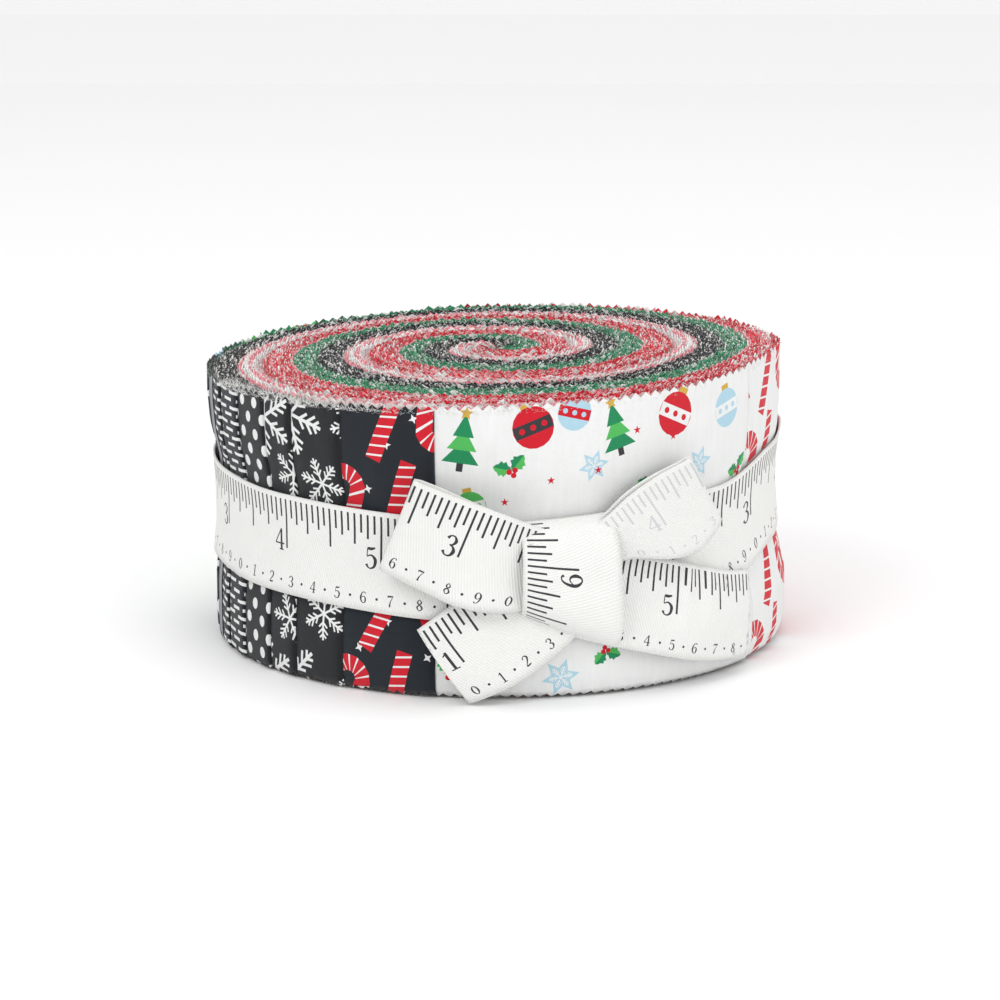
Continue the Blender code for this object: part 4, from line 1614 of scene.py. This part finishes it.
@dataclass(frozen=True)
class Rule:
    """The rule printed on the tape: sixteenths of an inch along its upper edge, numbers below.

    Attributes:
        margin: Bare cloth between the marks and the edge.
        marks: Length of the mark at each sixteenth, by how round its fraction is.
        line: Width of a mark.
        number_height: Height of an inch's number.
        small_height: Height of the small numbers near the lower edge, 0 to leave them out.
        small_step: Distance between two small numbers.
    """

    margin: float = 1.0 * MM
    marks: tuple[tuple[int, float], ...] = (
        (16, 11.0 * MM), (8, 8.5 * MM), (4, 6.8 * MM), (2, 5.3 * MM), (1, 4.1 * MM),
    )
    line: float = 0.5 * MM
    number_height: float = 4.8 * MM
    small_height: float = 2.5 * MM
    small_step: float = 6.5 * MM

    def patches(self, length: float, width: float, start: float, ink: Dye, first: int) -> list[Patch]:
        """The marks on a length of tape.

        Args:
            length: The tape's length.
            width: Its width.
            start: How far before the tape's start the rule begins.
            ink: The marks' colour.
            first: The first inch's number.

        Returns:
            The patches.
        """
        patches = []
        sixteenth = INCH / 16.0
        for index in range(int((length + start) / sixteenth) + 1):
            x = index * sixteenth - start
            if not self.line < x < length - self.line:
                continue
            reach = next(size for step, size in self.marks if index % step == 0)
            spot = (x, width - self.margin - reach / 2.0)
            patches.append(Patch(turned(bar(reach, self.line), spot, 90.0), ink))
            beside = x - 0.50 * self.number_height
            if index % 16 == 0 and beside > 0.3 * self.number_height:
                number = str((first + index // 16) % 10)
                middle = (beside, width - self.margin - reach + 0.35 * self.number_height)
                strokes = digit(number, self.number_height)
                patches.extend(Patch(turned(piece, middle, 0.0), ink) for piece in strokes)
        for index in range(int(length / self.small_step) + 1 if self.small_height else 0):
            x = (index + 0.5) * self.small_step
            if x > length - self.small_height:
                continue
            number = str((index + first * 3) % 10)
            spot = (x, self.margin + self.small_height * 0.75)
            strokes = digit(number, self.small_height)
            patches.extend(Patch(turned(piece, spot, 0.0), ink) for piece in strokes)
            dot = (x + self.small_step / 2.0, spot[1])
            if dot[0] < length - self.small_height:
                patches.append(Patch(turned(disc(0.32 * MM, 8), dot, 0.0), ink))
        return patches


@dataclass(frozen=True)
class Station:
    """One cross section of a loose length of tape, in millimetres and degrees.

    Attributes:
        along: How far to the right of the knot's middle the tape's middle is.
        height: Its height.
        run: The direction that the tape runs in, above level.
        up: Lift of its upper edge off the side.
        low: Lift of its lower edge.
        share: Share of the tape's width that shows flat.
    """

    along: float
    height: float
    run: float
    up: float
    low: float
    share: float


@dataclass
class Tape:
    """The twill tape: band, knot, two loops and two tails.

    Attributes:
        width: The tape's width.
        thickness: Its thickness.
        knot_angle: Where the knot is.
        columns: Faces across it.
        pace: Distance between two rows of its surface.
        seat: How far the band's cloth lies off the side.
    """

    width: float = 22.0 * MM
    thickness: float = 0.45 * MM
    knot_angle: float = 284.5
    columns: int = 12
    pace: float = 1.4 * MM
    seat: float = 0.75 * MM
    band_path: tuple[tuple[float, float], ...] = (
        (0.0, 37.5), (45.0, 36.0), (90.0, 33.5), (135.0, 32.0), (180.0, 31.0), (225.0, 30.0),
        (270.0, 28.5), (300.0, 29.0), (318.0, 31.0), (344.0, 36.0), (360.0, 37.5),
    )
    lower_left: tuple[Station, ...] = (
        Station(-2.0, 24.5, 212.0, 2.2, 2.2, 0.80),
        Station(-8.0, 20.8, 212.0, 2.3, 2.3, 0.95),
        Station(-14.0, 16.8, 214.0, 2.6, 2.8, 1.0),
        Station(-20.0, 12.4, 216.0, 2.8, 3.8, 0.96),
        Station(-27.4, 7.9, 219.0, 2.6, 4.8, 0.86),
    )
    lower_right: tuple[Station, ...] = (
        Station(2.0, 23.5, -13.0, 2.2, 2.2, 0.85),
        Station(11.0, 21.4, -13.0, 2.4, 3.4, 0.90),
        Station(20.0, 18.9, -14.0, 2.4, 3.6, 0.92),
        Station(29.0, 16.2, -14.0, 2.6, 3.2, 0.92),
        Station(38.0, 14.0, -13.0, 2.2, 2.6, 0.88),
        Station(47.0, 12.6, -10.0, 2.0, 2.0, 0.86),
    )
    upper_left: tuple[Station, ...] = (
        Station(-3.0, 29.0, 160.0, 3.4, 2.6, 0.70),
        Station(-11.0, 30.0, 162.0, 4.9, 2.6, 0.88),
        Station(-19.0, 32.4, 160.0, 7.0, 3.0, 1.0),
        Station(-27.0, 35.5, 159.0, 6.6, 3.4, 1.0),
        Station(-35.5, 38.8, 158.0, 5.9, 3.7, 1.0),
    )
    upper_right: tuple[Station, ...] = (
        Station(3.0, 32.6, 40.0, 3.6, 2.8, 0.40),
        Station(10.0, 35.4, 35.0, 4.6, 3.3, 0.54),
        Station(17.0, 37.2, 35.0, 5.1, 3.6, 0.86),
        Station(24.0, 39.6, 35.0, 5.0, 3.7, 1.0),
        Station(31.0, 43.2, 36.0, 4.8, 3.6, 0.90),
    )

    def on_roll(self, along: np.ndarray, height: np.ndarray, lift: np.ndarray) -> np.ndarray:
        """Points at a place along the side, a height and a lift, all in metres."""
        angle = self.knot_angle + np.degrees(along / DRUM.radius)
        return polar(DRUM.side(angle, height) + DRUM.step / 2.0 + lift, angle, height)

    def loft(self, along: np.ndarray, across: np.ndarray, rows: list[np.ndarray]) -> Callable:
        """Makes a mapping from the flat tape to its placed rows.

        Args:
            along: Flat distance of each row.
            across: Flat distance of each point of a row.
            rows: Placed points of each row.

        Returns:
            A function from flat points to placed points.
        """
        table = np.array(rows)

        def place(flat: np.ndarray) -> np.ndarray:
            """Reads the placed rows between their points."""
            at = np.clip(np.interp(flat[:, 0], along, np.arange(len(along))), 0.0, len(along) - 1.0001)
            side = np.clip(np.interp(flat[:, 1], across, np.arange(len(across))), 0.0, len(across) - 1.0001)
            row, column = at.astype(int), side.astype(int)
            part, share = (at - row)[:, None], (side - column)[:, None]
            first = table[row, column] * (1.0 - share) + table[row, column + 1] * share
            second = table[row + 1, column] * (1.0 - share) + table[row + 1, column + 1] * share
            return first * (1.0 - part) + second * part

        return place

    def eased(self, stations: Sequence[Station], steps: int = 8) -> np.ndarray:
        """Smooth values between the stations, as rows of their six numbers."""
        table = np.array([[s.along, s.height, s.run, s.up, s.low, s.share] for s in stations])
        table[:, [0, 1, 3, 4]] *= MM
        return smooth(table, steps)

    def section(self, row: np.ndarray, wave: Callable | None = None) -> np.ndarray:
        """Placed points across one station, from its lower to its upper edge.

        Args:
            row: The station's six numbers.
            wave: Adds lift for each share across, if given.

        Returns:
            The points.
        """
        along, height, run, up, low, share = row
        turn = math.radians(run)
        side = Vector((-math.sin(turn), math.cos(turn)))
        side = -side if side.y < 0.0 else side
        shares = np.linspace(-0.5, 0.5, self.columns + 1)
        reach = shares * self.width * share
        lift = low + (up - low) * (shares + 0.5)
        if wave is not None:
            lift = lift + wave(shares + 0.5)
        return self.on_roll(along + reach * side.x, height + reach * side.y, lift)

    def strip(
        self, rows: list[np.ndarray], rule: Rule, start: float, ink: Dye, first: int,
        slants: tuple[float, float] = (0.0, 0.0),
    ) -> tuple:
        """Cuts a length of tape and lays it on placed rows.

        Args:
            rows: Placed rows in the direction that the rule is read, lower edge first.
            rule: The marks.
            start: How far before the tape's start the rule begins.
            ink: The marks' colour.
            first: The first inch's number.
            slants: How far the upper corner of each end lies behind the lower one.

        Returns:
            Flat points, triangles, dyes and placed points.
        """
        middle = np.array([row[len(row) // 2] for row in rows])
        distances = np.concatenate([[0.0], np.cumsum(np.linalg.norm(np.diff(middle, axis=0), axis=1))])
        length = float(distances[-1])
        marks = rule.patches(length, self.width, start, ink, first)
        outline = [(0.0, 0.0), (length, 0.0), (length - slants[1], self.width), (slants[0], self.width)]
        cloth = FlatCloth(outline, marks, Dye.TAPE, (self.pace, self.width / self.columns))
        flat, cells, dyes = cloth.cut()
        across = np.linspace(0.0, self.width, len(rows[0]))
        placed = self.loft(distances, across, rows)(flat)
        return flat, cells, dyes, placed

    def band(self) -> list[np.ndarray]:
        """Rows of the band, once round the roll from behind the knot."""
        table = np.array(self.band_path)
        rows = []
        shares = np.linspace(-0.5, 0.5, self.columns + 1)
        for angle in np.linspace(self.knot_angle + 6.0, self.knot_angle + 354.0, 150):
            there = angle % 360.0
            index = int(np.searchsorted(table[:, 0], there, side="right")) - 1
            low, high = table[index], table[min(index + 1, len(table) - 1)]
            t = (there - low[0]) / max(high[0] - low[0], 1e-6)
            middle = (low[1] + (high[1] - low[1]) * t * t * (3.0 - 2.0 * t)) * MM
            height = middle + shares * self.width
            near = max(0.0, 1.0 - min(angle - self.knot_angle, self.knot_angle + 360.0 - angle) / 22.0)
            height = middle + shares * self.width * (1.0 - 0.28 * near**2)
            ripple = 0.16 * MM * np.sin(there * 0.21 + 5.0 * shares) * np.sin(there * 0.083)
            radius = DRUM.side(np.full(len(height), there), height) + DRUM.step / 2.0 + self.seat
            rows.append(polar(radius + ripple, np.full(len(height), there), height))
        return rows

    def loop(
        self, stations: Sequence[Station], lean: float, slip: float
    ) -> tuple[list[np.ndarray], list[np.ndarray]]:
        """Rows of a loop's back and front layers, joined in a round fold at its end.

        Args:
            stations: The loop's stations, upper lift for the front layer and lower for the back.
            lean: How far its lower edge lies under its upper one.
            slip: How far its back layer shows above its front one.

        Returns:
            The rows from the knot out along the back, and from the fold back along the front.
        """
        table = self.eased(stations)
        back, front = [], []
        for index, row in enumerate(table):
            share = index / (len(table) - 1)
            along, height, run, up, low, part = row
            bow = 0.35 * MM * math.sin(math.pi * share)

            def ridge(across: np.ndarray, share: float = share) -> np.ndarray:
                """How far the front layer stands out along its middle, less towards the fold."""
                return 0.5 * MM * np.cos(math.pi * (across - 0.45)) * (1.0 - share * 0.6)

            bowed = np.array([along, height, run, up + bow, up + bow - lean, part])
            front.append(self.section(bowed, ridge))
            shown = height + slip * math.sin(math.pi * min(share * 1.15, 1.0))
            back.append(self.section(np.array([along, shown, run, low, low, part])))
        last = table[-1]
        out = math.radians(last[2])
        middle_lift, reach = (last[3] + last[4]) / 2.0, (last[3] - last[4]) / 2.0
        turn = []
        for step in range(1, 8):
            bend = math.pi * step / 8.0
            ahead = reach * math.sin(bend) * 0.9
            lift = middle_lift - reach * math.cos(bend)
            row = last.copy()
            row[0] += ahead * math.cos(out)
            row[1] += ahead * math.sin(out)
            drop = lean * step / 8.0
            row[3], row[4] = lift, lift - drop
            turn.append(self.section(row))
        half = len(turn) // 2 + 1
        return back + turn[:half], turn[half - 1:] + front[::-1]

    def tail(self, stations: Sequence[Station], curl: float, wrinkle: float) -> list[np.ndarray]:
        """Rows of a tail from the knot to its cut end.

        Args:
            stations: The tail's stations.
            curl: Where its slow waves begin, in radians.
            wrinkle: Height of the short creases across its upper half.

        Returns:
            The rows.
        """
        table = self.eased(stations, 14)
        rows = []
        for index, row in enumerate(table):
            share = index / (len(table) - 1)
            swing = 0.45 * MM * math.sin(2.6 * math.pi * share + curl)
            rise = 0.0
            for place, girth, size in ((0.52, 0.030, 1.0), (0.60, 0.026, -0.45), (0.66, 0.024, 0.55)):
                rise += wrinkle * size * math.exp(-(((share - place) / girth) ** 2))

            def dish(across: np.ndarray, swing: float = swing, rise: float = rise) -> np.ndarray:
                """How far the tail's waves and creases lift each place across it."""
                wave = swing * np.sin(math.pi * across) - 0.25 * MM
                return wave + rise * np.clip(across * 1.4 - 0.35, 0.0, 1.0)

            rows.append(self.section(row, dish))
        return rows

    def knot(self) -> tuple[list[np.ndarray], Callable]:
        """Rows of the tape's turn over the knot, from its foot up to its head.

        Returns:
            The rows, and the pillow's surface as a function of share and rise.
        """
        left, right = (-10.9, 19.6, 39.2), (9.0, 11.4, 40.4)

        def surface(across: np.ndarray, rise: float, puff: float, hollow: float = 0.0) -> np.ndarray:
            """Points across the knot, share 0 to 1 from left to right, rise 0 to 1 from its foot."""
            along = (left[0] + (right[0] - left[0]) * across) * MM
            low = (left[1] + (right[1] - left[1]) * across) * MM
            high = (left[2] + (right[2] - left[2]) * across) * MM
            y, x = 2.0 * rise - 1.0, 2.0 * across - 1.0
            edge_y = (1.0 - abs(y) ** 5) ** 0.55 if abs(y) < 1.0 else 0.0
            crown = (1.0 - 0.30 * y * y - 0.16 * x * x) * (1.0 - hollow * np.abs(x) ** 5)
            lift = 1.1 * MM + (puff - 1.1 * MM) * crown * edge_y
            return self.on_roll(along, low + (high - low) * rise, lift)

        shares = np.linspace(0.0, 1.0, self.columns + 1)
        rows = []
        for step in range(41):
            rise = 0.5 - 0.5 * math.cos(math.pi * step / 40.0)
            points = surface(shares, rise, 8.8 * MM)
            crease = np.exp(-(((shares - 0.66 - 0.16 * rise) / 0.06) ** 2)) * 0.40 * MM
            crease += np.exp(-(((shares - 0.30 + 0.14 * rise) / 0.08) ** 2)) * 0.25 * MM
            soft = 0.25 * MM * np.sin(6.0 * shares + 2.4 * rise) * math.sin(math.pi * rise)
            outward = points.copy()
            outward[:, 2] = 0.0
            outward /= np.linalg.norm(outward, axis=1)[:, None]
            rows.append(points + outward * (soft - crease * math.sin(math.pi * rise))[:, None])
        return rows, surface

    def pillow(self, surface: Callable, finish: bpy.types.Material) -> bpy.types.Object:
        """The bunched tape inside the knot.

        Args:
            surface: The knot's surface.
            finish: The tape's material.

        Returns:
            A closed object a little smaller than the knot.
        """
        shares = np.linspace(0.04, 0.96, 13)
        rises = 0.5 - 0.5 * np.cos(np.pi * np.linspace(0.03, 0.97, 17))
        front = [surface(shares, rise, 7.9 * MM, 0.35) for rise in rises]
        back = [self.on_roll(*self.under(row)) for row in front]
        count = len(shares)
        bm = bmesh.new()
        fronts = [[bm.verts.new(point) for point in row] for row in front]
        backs = [[bm.verts.new(point) for point in row] for row in back]
        for row in range(len(rises) - 1):
            for column in range(count - 1):
                for sheet in (fronts, backs):
                    bm.faces.new((
                        sheet[row][column], sheet[row][column + 1],
                        sheet[row + 1][column + 1], sheet[row + 1][column]))
        ring = [(0, column) for column in range(count)]
        ring += [(row, count - 1) for row in range(1, len(rises))]
        ring += [(len(rises) - 1, column) for column in range(count - 2, -1, -1)]
        ring += [(row, 0) for row in range(len(rises) - 2, 0, -1)]
        for (row, column), (after, ahead) in zip(ring, ring[1:] + ring[:1]):
            bm.faces.new((
                fronts[row][column], fronts[after][ahead], backs[after][ahead], backs[row][column]))
        bmesh.ops.recalc_face_normals(bm, faces=bm.faces[:])
        mesh = bpy.data.meshes.new("knot_pillow")
        bm.to_mesh(mesh)
        bm.free()
        paint_corners(mesh, "Print", np.tile(np.array(Dye.TAPE.value), (len(mesh.polygons), 1)))
        mesh.uv_layers.new(name="UVMap")
        mesh.materials.append(finish)
        made = bpy.data.objects.new("knot_pillow", mesh)
        bpy.context.scene.collection.objects.link(made)
        return made

    def under(self, points: np.ndarray) -> tuple[np.ndarray, np.ndarray, np.ndarray]:
        """Along, height and lift of the places on the side that lie beneath some points."""
        angle = np.degrees(np.arctan2(points[:, 1], points[:, 0]))
        apart = (angle - self.knot_angle + 180.0) % 360.0 - 180.0
        return np.radians(apart) * DRUM.radius, points[:, 2], np.full(len(points), 0.9 * MM)

    def build(self, finish: bpy.types.Material) -> list[tuple[bpy.types.Object, float]]:
        """Makes the tape's pieces.

        Args:
            finish: The twill tape's material.

        Returns:
            Each piece with its flat length, 0 for the pillow.
        """
        rule = Rule()
        knot_rows, surface = self.knot()
        left_back, left_front = self.loop(self.upper_left, 0.5 * MM, -1.1 * MM)
        right_back, right_front = self.loop(self.upper_right, 0.4 * MM, 0.3 * MM)
        left_tail = self.tail(self.lower_left, 0.6, 0.0)
        right_tail = self.tail(self.lower_right, 2.2, 1.1 * MM)
        upright = [row[::-1] for row in knot_rows]
        lengths = {
            "tape_band": [self.strip(self.band(), rule, 3.8 * MM, Dye.INK, 1)],
            "tape_knot": [self.strip(upright, Rule(small_height=0.0), 7.4 * MM, Dye.INK, 5)],
            "tape_left_loop": [
                self.strip(left_back[::-1], rule, 4.0 * MM, Dye.GHOST, 1),
                self.strip(left_front, rule, INCH - 15.7 * MM, Dye.INK, 2)],
            "tape_right_loop": [
                self.strip(right_back, rule, 4.0 * MM, Dye.GHOST, 6),
                self.strip(right_front[::-1], rule, 7.0 * MM, Dye.GHOST, 3)],
            "tape_left_tail": [
                self.strip(left_tail[::-1], rule, INCH - 5.3 * MM, Dye.INK, 0, (1.0 * MM, 0.0))],
            "tape_right_tail": [
                self.strip(right_tail, rule, 2.5 * MM, Dye.INK, 4, (0.0, 1.0 * MM))],
        }
        made = []
        for name, cloths in lengths.items():
            piece = cloth_object(name, cloths, self.thickness, 0.0, finish)
            made.append((piece, sum(float(flat[:, 0].max()) for flat, _, _, _ in cloths)))
        made.append((self.pillow(surface, finish), 0.0))
        return made


@dataclass
class Studio:
    """Floor, soft lights and the camera.

    Attributes:
        pitch: How far the camera looks down, in radians.
        distance: From the roll's middle to the camera.
        aim_height: Height that it looks at.
        lens: Focal length over the width of the picture.
        shift: How far the picture is shifted, over its width.
        sensor: Width of the camera's sensor, in millimetres.
        reach: The camera's nearest and farthest distance.
        half_width: Half the floor's width.
        front: Where the floor starts, before the roll.
        back: Where it starts to curve up, behind the roll.
        bend: Radius of that curve.
        wall: Height that it reaches.
        daylight: Strength of the white surroundings.
        lamps: Name, place, size and power of each soft light.
    """

    pitch: float = 0.2237
    distance: float = 0.93027
    aim_height: float = 31.75 * MM
    lens: float = 4.075
    shift: tuple[float, float] = (0.00503, -0.0098)
    sensor: float = 36.0
    reach: tuple[float, float] = (0.05, 20.0)
    half_width: float = 3.0
    front: float = -2.0
    back: float = 1.0
    bend: float = 0.8
    wall: float = 3.0
    daylight: float = 0.78
    lamps: tuple[tuple[str, tuple[float, float, float], float, float], ...] = (
        ("key", (-0.7, -0.9, 1.1), 0.7, 6.2),
        ("fill", (0.9, -1.0, 0.6), 1.1, 5.0),
        ("over", (0.1, 0.1, 1.4), 1.0, 4.2),
    )

    def camera(self) -> None:
        """Places the camera."""
        data = bpy.data.cameras.new("camera")
        data.sensor_width = self.sensor
        data.lens = self.lens * self.sensor
        data.shift_x, data.shift_y = self.shift
        data.clip_start, data.clip_end = self.reach
        back = Vector((0.0, -math.cos(self.pitch), math.sin(self.pitch)))
        right = Vector((1.0, 0.0, 0.0))
        up = back.cross(right)
        made = bpy.data.objects.new("camera", data)
        made.location = Vector((0.0, 0.0, self.aim_height)) + back * self.distance
        made.rotation_euler = Matrix((right, up, back)).transposed().to_euler()
        bpy.context.scene.collection.objects.link(made)
        bpy.context.scene.camera = made

    def light(self, name: str, place: tuple[float, float, float], size: float, power: float) -> None:
        """Places a square soft light that looks at the roll."""
        data = bpy.data.lights.new(name, "AREA")
        data.size, data.energy = size, power
        made = bpy.data.objects.new(name, data)
        made.location = place
        aim = Vector((0.0, 0.0, self.aim_height)) - Vector(place)
        made.rotation_euler = aim.to_track_quat("-Z", "Y").to_euler()
        bpy.context.scene.collection.objects.link(made)

    def floor(self) -> None:
        """Lays the pale floor, with a wide curve up behind the roll."""
        rows = [(self.front, 0.0), (self.back, 0.0)]
        for step in range(1, 9):
            turn = math.radians(90.0 * step / 8.0)
            rows.append((self.back + self.bend * math.sin(turn), self.bend * (1.0 - math.cos(turn))))
        rows.append((self.back + self.bend, self.wall))
        points = [(x, y, z) for y, z in rows for x in (-self.half_width, self.half_width)]
        faces = [(2 * row, 2 * row + 1, 2 * row + 3, 2 * row + 2) for row in range(len(rows) - 1)]
        mesh = bpy.data.meshes.new("floor")
        mesh.from_pydata(points, [], faces)
        mesh.materials.append(FloorFinish().make())
        made = bpy.data.objects.new("floor", mesh)
        bpy.context.scene.collection.objects.link(made)

    def build(self) -> None:
        """Builds the studio."""
        self.floor()
        self.camera()
        world = bpy.data.worlds.new("studio")
        world.use_nodes = True
        backdrop = world.node_tree.nodes["Background"]
        backdrop.inputs["Color"].default_value = (1.0, 1.0, 1.0, 1.0)
        backdrop.inputs["Strength"].default_value = self.daylight
        bpy.context.scene.world = world
        for lamp in self.lamps:
            self.light(*lamp)
        bpy.context.scene.view_settings.view_transform = "Standard"


def report(piece: bpy.types.Object) -> None:
    """Logs what a piece is made of."""
    piece.data.calc_loop_triangles()
    low = np.min(points_of(piece.data), axis=0) / MM
    high = np.max(points_of(piece.data), axis=0) / MM
    LOG.info(
        "%s: %d triangles, %s to %s mm", piece.name, len(piece.data.loop_triangles),
        np.round(low, 1).tolist(), np.round(high, 1).tolist())


def main() -> None:
    """Builds the whole picture."""
    logging.basicConfig(level=logging.INFO, format="%(message)s")
    cotton = CottonFinish().make()
    edges = EdgeFinish().make()
    # painted shade: the core's cloth colour is darkened to 0.45 and the lint's to 0.95, since little light
    # reaches them
    deep = SpiralFinish("packed_cloth_painted_shade", 0.75, 0.45).make()
    fluff = SpiralFinish("lint", 0.40, 0.95).make()
    roll = [WoundCore().build(deep)]
    roll += WoundEdges(Face.TOP).build(edges)
    roll += WoundEdges(Face.BASE, tooth=5.0 * MM, depth=2.4 * MM, margin=2.7 * MM, seed=19).build(edges)
    roll += StripSide().build(cotton)
    roll.append(Lint("top_lint", 2.4e6, length=1.1 * MM, girth=0.045 * MM).build(
        crown_surface(-0.7 * MM, DRUM.radius - 0.5 * MM), fluff))
    roll.append(Lint("rim_lint", 3.5e6, tilt=100.0, seed=5).build(
        rim_surface((0.0, 360.0), 0.6 * MM, 1.0 * MM), fluff))
    roll.append(Lint("front_lint", 1.1e7, length=1.8 * MM, girth=0.05 * MM, tilt=105.0, seed=9).build(
        rim_surface((200.0, 256.0), 3.2 * MM, 0.7 * MM), LintFinish().make()))
    for piece in roll:
        report(piece)
        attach(piece, "root")
        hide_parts("roll")
    tape = Tape()
    for piece, length in tape.build(TapeFinish().make()):
        report(piece)
        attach(piece, "root")
        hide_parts("tie_tape")
    Studio().build()
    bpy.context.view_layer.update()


if __name__ == "__main__":
    main()
